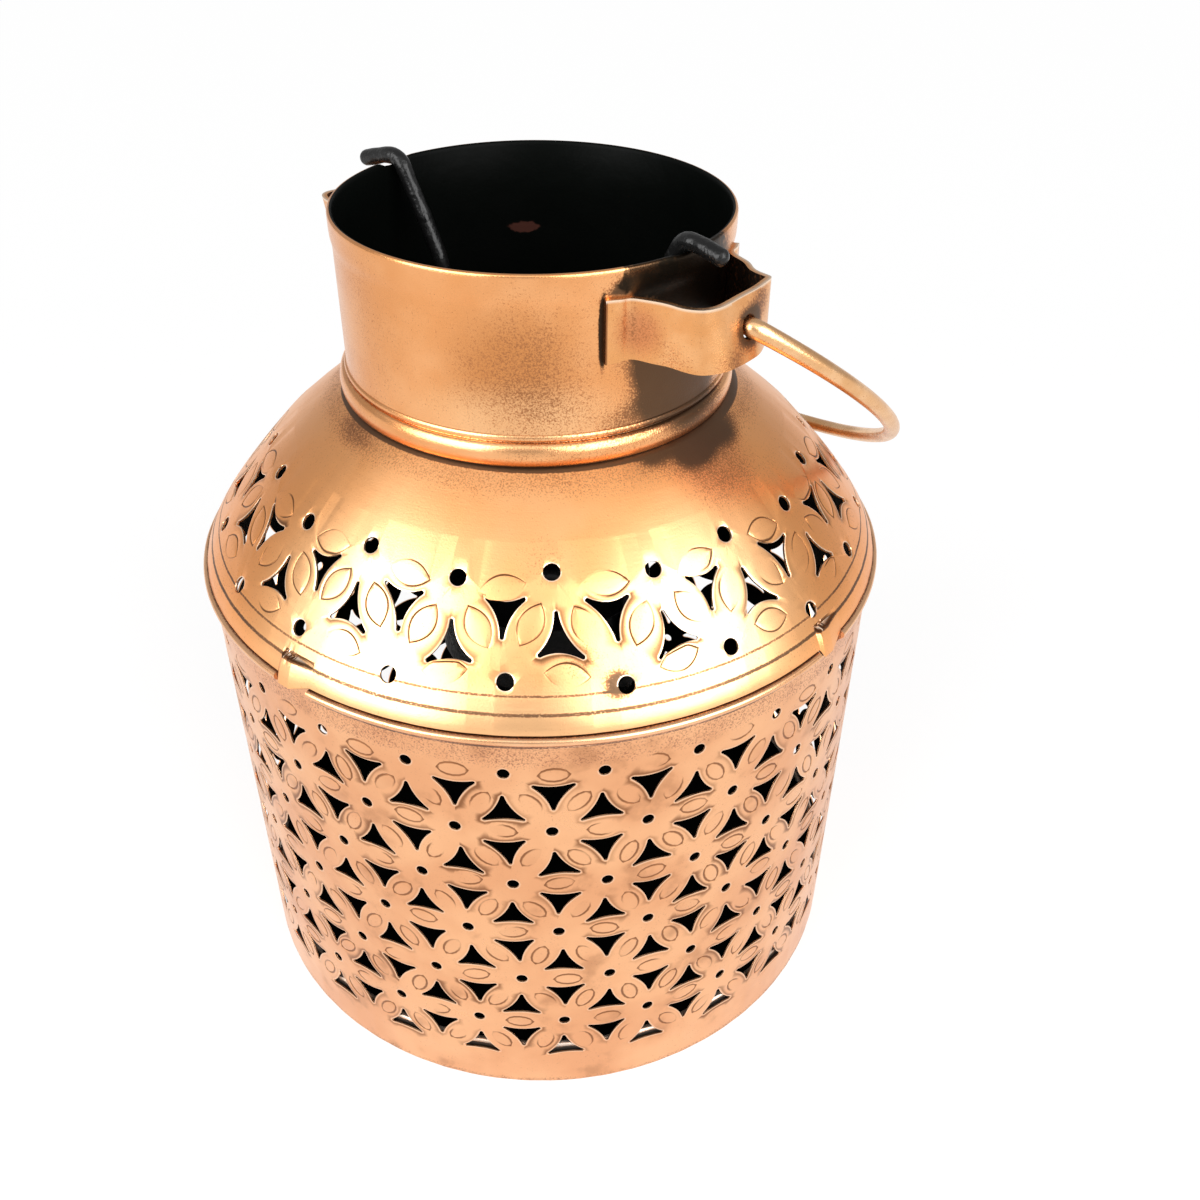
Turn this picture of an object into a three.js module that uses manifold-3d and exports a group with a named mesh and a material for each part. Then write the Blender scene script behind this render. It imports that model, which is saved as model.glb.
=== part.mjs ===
// Pierced metal tealight lantern shaped like a milk can.
// A pierced drum stands on a pan base, a pierced shoulder is staked into its lip, a plain neck is
// clinched into the shoulder, and two strap ears on the neck carry a wire bail. A black wire hanger
// hooks over the neck's rim and holds a candle cup inside.
// Millimetres, +Z up, origin at the middle of the base. Azimuth 0 faces -Y and grows towards +X.

import * as THREE from 'three';
import { mergeVertices } from 'three/addons/utils/BufferGeometryUtils.js';
import Module from 'manifold-3d';

const wasm = await Module();
wasm.setup();

// Sheet metal and fits
const SHEET = 0.7;
const CLEARANCE = 0.3;

// Drum
const DRUM_RADIUS = 61;
const DRUM_HEIGHT = 88.8;
const LIP_PROUD = 1.4;
const LIP_HEIGHT = 2;
const LIP_ROUND = [[0, 0], [0.22, 0.85], [0.6, 1], [1, 0.7]];
const DRUM_COLUMNS = 24;
const DRUM_BANDS = 6;
const DRUM_ROW_SPACING = 12.4;
const DRUM_TOP_MARGIN = 7.9;
const DRUM_PHASE_DEG = -6.1;

// Base pan
const BASE_FLANGE = 5;

// Pierced stars, as shares of the way from a tile's middle to its corners and sides
const STAR_REACH = 0.41;
const STAR_WAIST = 0.32;

// Shoulder
const SHOULDER_PROUD = 0.3;
const SHOULDER_HEIGHT = 33.5;
const SHOULDER_ROUND = 5.7;
const SHOULDER_LEAN = 1.1;
const SKIRT_DEPTH = 4.5;
const SHOULDER_COLUMNS = 20;
const SHOULDER_PHASE_DEG = 2;
const LOW_ROW_RISE = 6.8;
const HIGH_ROW_RISE = 18.5;
const EYELET_DIAMETER = 2.8;

// Stakes that lock the shoulder into notches of the lip
const STAKE_AZIMUTHS_DEG = [-40.5, 49.5, 139.5, -130.5];
const STAKE_WIDTH = 6.4;
const STAKE_TOP = 3.3;
const STAKE_DROP = 1.4;
const STAKE_INSET = 0.2;
const STAKE_EASE = 0.1;
const SLIT_HEIGHT = 0.9;
const NOTCH_WIDTH = 8;

// Neck, its rim measured from the shoulder's mouth
const NECK_RADIUS = 33;
const NECK_TOP = 26.4;
const BEAD_PROUD = 3.3;
const BEAD_HEIGHT = 4.6;
const BEAD_FOOT = 0.8;
const CLINCH_PROUD = 3;

// Strap ears, their faces measured from the neck and their upper edges down from the rim
const EAR_AZIMUTHS_DEG = { ear_right: 45, ear_left: -131 };
const EAR_THICKNESS = 0.9;
const EAR_WIDTH = 9.5;
const EAR_DROP = 4.4;
const EAR_REACH = 9.1;
const EAR_FACE_WIDTH = 16;
const EAR_FOOT_INNER_DEG = 19.5;
const EAR_FOOT_OUTER_DEG = 29;
const EAR_FLANK_SHARES = [0.4, 0.85];
const EAR_HOLE_DIAMETER = 4.2;

// Bail
const BAIL_WIRE = 2.7;
const BAIL_RADIUS = 53.2;
const BAIL_REST_GAP = 1;
const BAIL_HEAD_DIAMETER = 5.2;
const BAIL_HEAD_THICKNESS = 1.2;
const BAIL_PIN_OUT = 0.8;
const BAIL_BEND_RISE = 2.4;

// Wire hanger and candle cup
const HANGER_WIRE = 2.7;
const HOOK_AZIMUTHS_DEG = [43, -131];
const HOOK_OVERHANG = 7;
const HANGER_BEND = 3.2;
const LEG_LEAN_DROP = 17;
const CUP_RADIUS = 20.5;
const CUP_WALL = 0.6;
const CUP_HEIGHT = 16;
const CUP_EDGE_ROUND = 2.5;
const CUP_FLOOR_Z = 61;

// Colours
const COPPER = 0xd9935f;
const GOLD = 0xcf9a55;
const BLACK = 0x14161a;

// Facets of the round forms
const ROUND_SEGMENTS = 48;
const WIRE_SIDES = 8;
const EAR_STEPS = 39;
const EAR_HOLE_SIDES = 16;
const BAIL_HEAD_SIDES = 12;
const BAIL_ARC_STEPS = 36;
const BAIL_BEND_STEPS = 4;
const REST_STEPS = 64;
const REST_STEP_DEG = 1;
const REST_TOLERANCE = 1e-7;
const HANGER_BEND_STEPS = 3;

// How finely neighbouring corners of a sheet are told apart
const WELDS_PER_RADIAN = 1e6;
const WELDS_PER_MM = 1e4;

const radians = THREE.MathUtils.degToRad;
const lipTop = DRUM_HEIGHT;
const drumInner = DRUM_RADIUS - SHEET;

// A point at a radius, an azimuth in radians and a height.
function polar(radius, azimuth, z) {
  return new THREE.Vector3(radius * Math.sin(azimuth), -radius * Math.cos(azimuth), z);
}

// Welds a geometry by position alone.
function welded(geometry) {
  const bare = geometry.index ? geometry.toNonIndexed() : geometry.clone();
  bare.deleteAttribute('normal');
  bare.deleteAttribute('uv');
  return mergeVertices(bare);
}

function solidOf(geometry) {
  const clean = welded(geometry);
  const vertProperties = new Float32Array(clean.attributes.position.array);
  const triVerts = new Uint32Array(clean.index.array);
  return new wasm.Manifold(new wasm.Mesh({ numProp: 3, vertProperties, triVerts }));
}

function geometryOf(solid) {
  const mesh = solid.getMesh();
  const geometry = new THREE.BufferGeometry();
  const positions = new Float32Array(mesh.vertProperties);
  geometry.setAttribute('position', new THREE.BufferAttribute(positions, 3));
  geometry.setIndex(new THREE.BufferAttribute(new Uint32Array(mesh.triVerts), 1));
  return geometry;
}

// A body turned about Z from a closed profile of [radius, z] points, anticlockwise.
function turned(profile, segments, phase = 0) {
  const points = profile.map(([radius, z]) => new THREE.Vector2(radius, z));
  const geometry = new THREE.LatheGeometry(points, segments, phase);
  return welded(geometry.rotateX(Math.PI / 2));
}

// A sheet drawn flat in (azimuth, v), then bent onto an outer and an inner surface.
// Its free edges, round every hole too, get a wall between the two surfaces.
class Sheet {
  constructor(outer, inner) {
    this.outer = outer;
    this.inner = inner;
    this.points = [];
    this.triangles = [];
    this.lookup = new Map();
  }

  vertex([azimuth, v]) {
    const turn = 2 * Math.PI;
    const wrapped = ((azimuth % turn) + turn) % turn;
    const place = Math.round(wrapped * WELDS_PER_RADIAN) % Math.round(turn * WELDS_PER_RADIAN);
    const key = `${place} ${Math.round(v * WELDS_PER_MM)}`;
    if (!this.lookup.has(key)) {
      this.lookup.set(key, this.points.length);
      this.points.push([azimuth, v]);
    }
    return this.lookup.get(key);
  }

  triangle(a, b, c) {
    const area = (b[0] - a[0]) * (c[1] - a[1]) - (b[1] - a[1]) * (c[0] - a[0]);
    const corners = area > 0 ? [a, b, c] : [a, c, b];
    this.triangles.push(corners.map((corner) => this.vertex(corner)));
  }

  // A plain patch with no holes.
  patch(outline) {
    const flat = outline.map(([azimuth, v]) => new THREE.Vector2(azimuth * DRUM_RADIUS, v));
    for (const [a, b, c] of THREE.ShapeUtils.triangulateShape(flat, [])) {
      this.triangle(outline[a], outline[b], outline[c]);
    }
  }

  // A three-cornered tile round a star whose tips point at the corners. Where eyelet is above 0,
  // each corner is cut off at that share of the sides that meet there, which leaves a small hole.
  // A level side is broken at its middle, so that it follows the round of the sheet.
  starTile(corners, eyelet) {
    const middle = meanOf(corners);
    for (let k = 0; k < 3; k += 1) {
      const here = corners[k];
      const next = corners[(k + 1) % 3];
      const last = corners[(k + 2) % 3];
      const tip = between(middle, here, STAR_REACH);
      const nextTip = between(middle, next, STAR_REACH);
      const waist = between(middle, between(here, next, 0.5), STAR_WAIST);
      const start = between(here, next, eyelet);
      const end = between(next, here, eyelet);
      const rim = here[1] === next[1] ? [start, between(here, next, 0.5), end] : [start, end];
      for (let step = 1; step < rim.length; step += 1) {
        this.triangle(rim[step - 1], rim[step], waist);
      }
      this.triangle(start, waist, tip);
      this.triangle(end, nextTip, waist);
      if (eyelet > 0) {
        this.triangle(between(here, last, eyelet), start, tip);
      }
    }
  }

  geometry() {
    const count = this.points.length;
    const outside = this.points.map((point) => this.outer(...point));
    const inside = this.points.map((point) => this.inner(...point));
    const index = [];
    const free = new Set();
    for (const [a, b, c] of this.triangles) {
      index.push(a, b, c, a + count, c + count, b + count);
      for (const [from, to] of [[a, b], [b, c], [c, a]]) {
        if (!free.delete(`${to} ${from}`)) {
          free.add(`${from} ${to}`);
        }
      }
    }
    for (const edge of free) {
      const [from, to] = edge.split(' ').map(Number);
      index.push(from, from + count, to, to, from + count, to + count);
    }
    const geometry = new THREE.BufferGeometry();
    geometry.setFromPoints([...outside, ...inside]);
    geometry.setIndex(index);
    return geometry;
  }
}

function between(a, b, share) {
  return [a[0] + (b[0] - a[0]) * share, a[1] + (b[1] - a[1]) * share];
}

function meanOf(points) {
  return [0, 1].map((axis) => points.reduce((sum, point) => sum + point[axis], 0) / points.length);
}

// Drum: a pierced wall rolled to a lap seam half a column wide, with a solid rolled lip on top.
const drumHalf = (2 * Math.PI) / (2 * DRUM_COLUMNS + 1);
const drumPhase = radians(DRUM_PHASE_DEG) - DRUM_COLUMNS * drumHalf;
const lipFoot = lipTop - LIP_HEIGHT;
const lipProfile = LIP_ROUND.map(([up, out]) => [lipFoot + up * LIP_HEIGHT, out * LIP_PROUD]);

function drumOuter(azimuth, z) {
  const above = lipProfile.findIndex(([height]) => height >= z - 1e-6);
  if (above <= 0) {
    return polar(DRUM_RADIUS, azimuth, z);
  }
  const [lowZ, lowProud] = lipProfile[above - 1];
  const [highZ, highProud] = lipProfile[above];
  const proud = THREE.MathUtils.mapLinear(z, lowZ, highZ, lowProud, highProud);
  return polar(DRUM_RADIUS + proud, azimuth, z);
}

function drumSheet() {
  const sheet = new Sheet(drumOuter, (azimuth, z) => polar(drumInner, azimuth, z));
  const last = 2 * DRUM_COLUMNS;
  const topRow = lipTop - DRUM_TOP_MARGIN;
  const at = (i, row) => [drumPhase + i * drumHalf, topRow - row * DRUM_ROW_SPACING];
  const ring = (i, z) => [drumPhase + i * drumHalf, z];
  for (let row = 0; row < DRUM_BANDS; row += 1) {
    for (let i = 0; i < last - 1; i += 1) {
      const nodeAbove = i % 2 === row % 2;
      const tile = nodeAbove
        ? [at(i, row), at(i + 1, row + 1), at(i + 2, row)]
        : [at(i, row + 1), at(i + 2, row + 1), at(i + 1, row)];
      sheet.starTile(tile, 0);
    }
    const evenAbove = row % 2 === 0;
    const inner = evenAbove ? row + 1 : row;
    sheet.triangle(at(0, row), at(0, row + 1), at(1, inner));
    sheet.triangle(at(last, row), at(last, row + 1), at(last - 1, inner));
    sheet.patch([at(last, row), at(last + 1, row), at(last + 1, row + 1), at(last, row + 1)]);
  }
  const plainRing = (low, high) => {
    for (let i = 0; i <= last; i += 1) {
      sheet.patch([ring(i, low), ring(i + 1, low), ring(i + 1, high), ring(i, high)]);
    }
  };
  plainRing(0, topRow - DRUM_BANDS * DRUM_ROW_SPACING);
  plainRing(topRow, lipFoot);
  for (let k = 1; k < lipProfile.length; k += 1) {
    plainRing(lipProfile[k - 1][0], lipProfile[k][0]);
  }
  return sheet.geometry();
}

// A block at an azimuth: radial from inner to outer, z from low to high, with a tangential width.
function block(azimuthDeg, inner, outer, low, high, width) {
  const geometry = new THREE.BoxGeometry(width, outer - inner, high - low);
  geometry.translate(0, -(inner + outer) / 2, (low + high) / 2);
  return geometry.rotateZ(radians(azimuthDeg));
}

function drumShell() {
  let solid = solidOf(drumSheet());
  for (const azimuth of STAKE_AZIMUTHS_DEG) {
    const beyond = DRUM_RADIUS + 2 * LIP_PROUD;
    const low = lipFoot - LIP_HEIGHT;
    const high = lipTop + LIP_HEIGHT;
    const notch = block(azimuth, DRUM_RADIUS, beyond, low, high, NOTCH_WIDTH);
    solid = solid.subtract(solidOf(notch));
  }
  return geometryOf(solid);
}

// Base: a pan whose flange stands inside the drum wall.
function baseDisc() {
  const rim = drumInner - CLEARANCE;
  const profile = [
    [0, 0],
    [rim, 0],
    [rim, BASE_FLANGE],
    [rim - SHEET, BASE_FLANGE],
    [rim - SHEET, SHEET],
    [0, SHEET],
  ];
  return turned(profile, 2 * DRUM_COLUMNS + 1, drumPhase);
}

// Shoulder: v is the height above the shoulder's foot, or the depth of its skirt below it.
const shoulderFoot = lipTop + CLEARANCE;
const shoulderRadius = DRUM_RADIUS + SHOULDER_PROUD;
const mouthRadius = NECK_RADIUS + CLEARANCE;
const skirtRadius = drumInner - CLEARANCE;
const shoulderCurve = new THREE.QuadraticBezierCurve(
  new THREE.Vector2(shoulderRadius, 0),
  new THREE.Vector2(shoulderRadius - SHOULDER_LEAN, SHOULDER_ROUND),
  new THREE.Vector2(mouthRadius, SHOULDER_HEIGHT),
);
const shoulderEnd = shoulderCurve.getTangent(1);
const mouthSlope = -shoulderEnd.y / shoulderEnd.x;
const mouthDrop = SHEET / -shoulderEnd.x;
const mouthZ = shoulderFoot + SHOULDER_HEIGHT;
const neckTop = mouthZ + NECK_TOP;

// The curve's own parameter where it reaches a height.
function shoulderParameter(rise) {
  const bend = SHOULDER_HEIGHT - 2 * SHOULDER_ROUND;
  const root = Math.sqrt(SHOULDER_ROUND ** 2 + bend * rise);
  return Math.abs(bend) < 1e-9 ? rise / SHOULDER_HEIGHT : (root - SHOULDER_ROUND) / bend;
}

function shoulderOuter(azimuth, v) {
  if (v < 0) {
    return polar(skirtRadius, azimuth, shoulderFoot + v);
  }
  const point = shoulderCurve.getPoint(shoulderParameter(v));
  return polar(point.x, azimuth, shoulderFoot + point.y);
}

function shoulderInner(azimuth, v) {
  if (v < 0) {
    return polar(skirtRadius - SHEET, azimuth, shoulderFoot + v);
  }
  if (v === 0) {
    return polar(skirtRadius - SHEET, azimuth, shoulderFoot + SHEET);
  }
  if (v === SHOULDER_HEIGHT) {
    return polar(mouthRadius, azimuth, mouthZ - mouthDrop);
  }
  const t = shoulderParameter(v);
  const point = shoulderCurve.getPoint(t);
  const tangent = shoulderCurve.getTangent(t);
  return polar(point.x - SHEET * tangent.y, azimuth, shoulderFoot + point.y + SHEET * tangent.x);
}

function shoulderSheet() {
  const sheet = new Sheet(shoulderOuter, shoulderInner);
  const half = Math.PI / SHOULDER_COLUMNS;
  const count = 2 * SHOULDER_COLUMNS;
  const at = (i, v) => [radians(SHOULDER_PHASE_DEG) + i * half, v];
  const high = (i) => at(i, HIGH_ROW_RISE);
  const low = (i) => at(i, LOW_ROW_RISE);
  const highRadius = shoulderCurve.getPoint(shoulderParameter(HIGH_ROW_RISE)).x;
  const eyeletShare = EYELET_DIAMETER / 2 / (2 * half * highRadius);
  const eyeletRise = (EYELET_DIAMETER / 2) * Math.sin(Math.PI / 3);
  const eyeletSide = half * eyeletShare;
  const overHigh = HIGH_ROW_RISE + eyeletRise * Math.SQRT1_2;
  const underLow = LOW_ROW_RISE - eyeletRise * Math.SQRT1_2;
  const beside = (point, side, v) => [point[0] + side * eyeletSide, v];
  const upperRing = (HIGH_ROW_RISE + SHOULDER_HEIGHT) / 2;
  const lowerRing = LOW_ROW_RISE / 2;
  for (let i = 0; i < count; i += 2) {
    sheet.starTile([high(i), low(i + 1), high(i + 2)], eyeletShare);
    sheet.starTile([low(i - 1), low(i + 1), high(i)], eyeletShare);
    sheet.patch([
      beside(high(i), 1, overHigh),
      between(high(i), high(i + 2), eyeletShare),
      high(i + 1),
      between(high(i + 2), high(i), eyeletShare),
      beside(high(i + 2), -1, overHigh),
      beside(high(i + 2), 1, overHigh),
      at(i + 2, upperRing),
      at(i + 1, upperRing),
      at(i, upperRing),
    ]);
    sheet.patch([
      at(i + 1, lowerRing),
      at(i + 2, lowerRing),
      at(i + 3, lowerRing),
      beside(low(i + 3), 1, underLow),
      beside(low(i + 3), -1, underLow),
      between(low(i + 3), low(i + 1), eyeletShare),
      low(i + 2),
      between(low(i + 1), low(i + 3), eyeletShare),
      beside(low(i + 1), 1, underLow),
    ]);
  }
  const plainRing = (lowV, highV) => {
    for (let i = 0; i < count; i += 1) {
      sheet.patch([at(i, lowV), at(i + 1, lowV), at(i + 1, highV), at(i, highV)]);
    }
  };
  plainRing(upperRing, SHOULDER_HEIGHT);
  plainRing(0, lowerRing);
  plainRing(-CLEARANCE, 0);
  plainRing(-SKIRT_DEPTH, -CLEARANCE);
  return sheet.geometry();
}

// A stake: a tongue slit from the shoulder and bent out into its notch in the lip.
const stakeOut = DRUM_RADIUS + LIP_PROUD - STAKE_INSET;
const stakeTop = shoulderFoot + STAKE_TOP;
const stakeBulgeZ = stakeTop - STAKE_TOP / 2;

function stakeTongue(azimuthDeg) {
  const back = DRUM_RADIUS + CLEARANCE + STAKE_EASE;
  const outline = new THREE.Shape([
    new THREE.Vector2(shoulderRadius - SHOULDER_LEAN, stakeTop),
    new THREE.Vector2(back, stakeTop - STAKE_EASE),
    new THREE.Vector2(stakeOut, stakeBulgeZ),
    new THREE.Vector2(stakeOut, lipTop - STAKE_DROP),
    new THREE.Vector2(back, lipTop - STAKE_DROP),
    new THREE.Vector2(back, shoulderFoot + STAKE_EASE),
    new THREE.Vector2(shoulderRadius - SHEET, shoulderFoot + SHEET / 2),
  ]);
  const geometry = new THREE.ExtrudeGeometry(outline, { depth: STAKE_WIDTH, bevelEnabled: false });
  geometry.translate(0, 0, -STAKE_WIDTH / 2);
  geometry.rotateX(Math.PI / 2);
  return geometry.rotateZ(radians(azimuthDeg - 90));
}

function shoulderDome() {
  let solid = solidOf(shoulderSheet());
  const deep = shoulderRadius - SHOULDER_LEAN - 3 * SHEET;
  for (const azimuth of STAKE_AZIMUTHS_DEG) {
    const slit = block(azimuth, deep, shoulderRadius, stakeTop, stakeTop + SLIT_HEIGHT, STAKE_WIDTH);
    solid = solid.add(solidOf(stakeTongue(azimuth))).subtract(solidOf(slit));
  }
  return geometryOf(solid);
}

// Neck: a tube with a bead that sits on the shoulder and a clinched flange under it.
function neckTube() {
  const inner = NECK_RADIUS - SHEET;
  const slantGap = CLEARANCE / -shoulderEnd.x;
  const onShoulder = (radius) => mouthZ + slantGap - (radius - mouthRadius) * mouthSlope;
  const underShoulder = (radius) => onShoulder(radius) - mouthDrop - 2 * slantGap;
  const beadOut = NECK_RADIUS + BEAD_PROUD;
  const flangeOut = NECK_RADIUS + CLINCH_PROUD;
  const beadFoot = onShoulder(beadOut);
  const bead = [0.25, 0.5, 0.75].map((share) => {
    const angle = (share * Math.PI) / 2;
    const rise = BEAD_FOOT + (BEAD_HEIGHT - BEAD_FOOT) * Math.sin(angle);
    return [NECK_RADIUS + BEAD_PROUD * Math.cos(angle), beadFoot + rise];
  });
  const profile = [
    [inner, neckTop],
    [inner, underShoulder(inner) - mouthDrop],
    [flangeOut, underShoulder(flangeOut) - mouthDrop],
    [flangeOut, underShoulder(flangeOut)],
    [NECK_RADIUS, underShoulder(NECK_RADIUS)],
    [NECK_RADIUS, onShoulder(NECK_RADIUS)],
    [beadOut, beadFoot],
    [beadOut, beadFoot + BEAD_FOOT],
    ...bead,
    [NECK_RADIUS, beadFoot + BEAD_HEIGHT],
    [NECK_RADIUS, neckTop],
    [inner, neckTop],
  ];
  return turned(profile, ROUND_SEGMENTS);
}

// Ear: a strap bent into a hat, with feet on the neck and a hole in its outer face for the bail.
const earTop = neckTop - EAR_DROP;
const earMiddleZ = earTop - EAR_WIDTH / 2;
const earFace = NECK_RADIUS + EAR_REACH;

function earCentreline() {
  const footRadius = NECK_RADIUS + CLEARANCE + EAR_THICKNESS / 2;
  const faceY = earFace - EAR_THICKNESS / 2;
  const faceHalf = EAR_FACE_WIDTH / 2;
  const onNeck = (degrees) => {
    const angle = radians(degrees);
    return [footRadius * Math.sin(angle), footRadius * Math.cos(angle)];
  };
  const footMiddle = (EAR_FOOT_OUTER_DEG + EAR_FOOT_INNER_DEG) / 2;
  const root = onNeck(EAR_FOOT_INNER_DEG);
  const half = [
    onNeck(EAR_FOOT_OUTER_DEG),
    onNeck(footMiddle),
    root,
    ...EAR_FLANK_SHARES.map((share) => between(root, [faceHalf, faceY], share)),
    [faceHalf - EAR_THICKNESS, faceY - EAR_THICKNESS / 4],
    [faceHalf / 2, faceY],
  ];
  const mirrored = half.map(([x, y]) => [-x, y]).reverse();
  return new THREE.SplineCurve([...half, ...mirrored].map(([x, y]) => new THREE.Vector2(x, y)));
}

function strapShape(curve, thickness, steps) {
  const left = [];
  const right = [];
  for (let i = 0; i <= steps; i += 1) {
    const point = curve.getPoint(i / steps);
    const tangent = curve.getTangent(i / steps);
    const side = new THREE.Vector2(-tangent.y, tangent.x).multiplyScalar(thickness / 2);
    left.push(point.clone().add(side));
    right.push(point.clone().sub(side));
  }
  return new THREE.Shape([...right, ...left.reverse()]);
}

function ear(azimuthDeg) {
  const strap = strapShape(earCentreline(), EAR_THICKNESS, EAR_STEPS);
  const geometry = new THREE.ExtrudeGeometry(strap, { depth: EAR_WIDTH, bevelEnabled: false });
  geometry.translate(0, 0, earTop - EAR_WIDTH);
  const holeRadius = EAR_HOLE_DIAMETER / 2;
  const bore = new THREE.CylinderGeometry(holeRadius, holeRadius, 4 * EAR_THICKNESS, EAR_HOLE_SIDES);
  bore.translate(0, earFace, earMiddleZ);
  const bored = geometryOf(solidOf(geometry).subtract(solidOf(bore)));
  return bored.rotateZ(Math.PI + radians(azimuthDeg));
}

// A wire's middle line as stations, with the wire's rings exactly at them.
class Stations extends THREE.Curve {
  constructor(points) {
    super();
    this.points = points;
  }

  getPoint(t) {
    const place = t * (this.points.length - 1);
    const low = Math.min(Math.floor(place), this.points.length - 2);
    return this.points[low].clone().lerp(this.points[low + 1], place - low);
  }

  getPointAt(t) {
    return this.getPoint(t);
  }

  getTangentAt(t) {
    const step = 1 / (this.points.length - 1);
    const ahead = this.getPoint(Math.min(t + step, 1));
    return ahead.sub(this.getPoint(Math.max(t - step, 0))).normalize();
  }
}

function wire(points, diameter) {
  const section = new THREE.Shape();
  section.absarc(0, 0, diameter / 2, 0, 2 * Math.PI);
  return new THREE.ExtrudeGeometry(section, {
    steps: points.length - 1,
    curveSegments: WIRE_SIDES / 2,
    bevelEnabled: false,
    extrudePath: new Stations(points),
  });
}

// Points of a path through corners, each corner rounded off over a distance.
function rounded(corners, distance, steps) {
  const points = [corners[0]];
  for (let k = 1; k < corners.length - 1; k += 1) {
    const from = corners[k].clone().add(corners[k - 1].clone().sub(corners[k]).setLength(distance));
    const to = corners[k].clone().add(corners[k + 1].clone().sub(corners[k]).setLength(distance));
    points.push(...new THREE.QuadraticBezierCurve3(from, corners[k], to).getPoints(steps));
  }
  points.push(corners.at(-1));
  return points;
}

// The outline that a dropped bail can rest on, as points of radius and z: drum, lip, stakes, shoulder.
function restOutline() {
  const foot = new THREE.Vector2(DRUM_RADIUS, 0);
  const drum = new THREE.LineCurve(foot, new THREE.Vector2(DRUM_RADIUS, lipFoot)).getPoints(REST_STEPS);
  const lip = lipProfile.map(([z, proud]) => new THREE.Vector2(DRUM_RADIUS + proud, z));
  const stake = new THREE.Vector2(stakeOut, stakeBulgeZ);
  const shoulder = shoulderCurve.getPoints(REST_STEPS);
  shoulder.forEach((point) => point.setY(shoulderFoot + point.y));
  return [...drum, ...lip, stake, ...shoulder];
}

// The angle below level to which a wire drops before it comes within the rest gap of that outline.
// place gives a flat point of the wire's middle line its spot at an angle.
function restTilt(flatPoints, place) {
  const outline = restOutline();
  const gapAt = (tilt) => {
    const gaps = flatPoints.map((flat) => {
      const spot = place(flat, tilt);
      const section = new THREE.Vector2(Math.hypot(spot.x, spot.y), spot.z);
      return Math.min(...outline.map((point) => point.distanceTo(section)));
    });
    return Math.min(...gaps) - BAIL_WIRE / 2;
  };
  let tilt = 0;
  for (let step = radians(REST_STEP_DEG); step > REST_TOLERANCE; step /= 2) {
    while (tilt < Math.PI / 2 && gapAt(tilt + step) > BAIL_REST_GAP) {
      tilt += step;
    }
  }
  return tilt;
}

// Bail: an arc in a plane through the two ear holes, with pins that pass the holes and headed ends.
// It has dropped until it rests on the lip or the shoulder.
function bail() {
  const azimuths = Object.values(EAR_AZIMUTHS_DEG).map(radians);
  const holes = azimuths.map((azimuth) => polar(earFace, azimuth, earMiddleZ));
  const middle = holes[0].clone().add(holes[1]).multiplyScalar(0.5);
  const reach = holes[0].distanceTo(holes[1]) / 2;
  const along = holes[0].clone().sub(holes[1]).normalize();
  const level = new THREE.Vector3(-along.y, along.x, 0);
  const down = new THREE.Vector3(0, 0, -1);
  const place = (flat, tilt) => {
    const spot = middle.clone().addScaledVector(along, flat.x);
    spot.addScaledVector(level, flat.y * Math.cos(tilt));
    return spot.addScaledVector(down, flat.y * Math.sin(tilt));
  };

  const pinEnd = reach + BAIL_PIN_OUT;
  const headBack = reach - EAR_THICKNESS - CLEARANCE - BAIL_HEAD_THICKNESS;
  const foot = pinEnd + BAIL_PIN_OUT + BAIL_WIRE / 8;
  const centre = Math.sqrt(BAIL_RADIUS ** 2 - foot ** 2);
  const rise = BAIL_BEND_RISE;
  const arcStart = Math.asin((rise - centre) / BAIL_RADIUS);
  const bendEnd = new THREE.Vector2(BAIL_RADIUS * Math.cos(arcStart), rise);
  const corner = new THREE.Vector2(bendEnd.x + rise * Math.tan(arcStart), 0);
  const bend = new THREE.QuadraticBezierCurve(new THREE.Vector2(pinEnd, 0), corner, bendEnd);
  const headMiddle = headBack + BAIL_HEAD_THICKNESS / 2;
  const half = [new THREE.Vector2(headMiddle, 0), ...bend.getPoints(BAIL_BEND_STEPS)];
  const arc = [];
  for (let k = 1; k < BAIL_ARC_STEPS; k += 1) {
    const angle = arcStart + ((Math.PI - 2 * arcStart) * k) / BAIL_ARC_STEPS;
    const out = centre + BAIL_RADIUS * Math.sin(angle);
    arc.push(new THREE.Vector2(BAIL_RADIUS * Math.cos(angle), out));
  }
  const otherHalf = half.map((p) => new THREE.Vector2(-p.x, p.y)).reverse();
  const flatPoints = [...half, ...arc, ...otherHalf];
  const tilt = restTilt(arc, place);

  let solid = solidOf(wire(flatPoints.map((flat) => place(flat, tilt)), BAIL_WIRE));
  for (const side of [1, -1]) {
    const radius = BAIL_HEAD_DIAMETER / 2;
    const head = new THREE.CylinderGeometry(radius, radius, BAIL_HEAD_THICKNESS, BAIL_HEAD_SIDES);
    const turn = new THREE.Quaternion().setFromUnitVectors(new THREE.Vector3(0, 1, 0), along);
    const spot = place(new THREE.Vector2(side * headMiddle, 0), 0);
    head.applyQuaternion(turn).translate(spot.x, spot.y, spot.z);
    solid = solid.add(solidOf(head));
  }
  return geometryOf(solid);
}

// Hanger: one wire with a hook at each end, legs leaning in to the cup and a bar under it.
const hangerRadius = HANGER_WIRE / 2;
const legRadius = CUP_RADIUS + CLEARANCE + hangerRadius;
const barZ = CUP_FLOOR_Z - CLEARANCE - hangerRadius;

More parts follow.
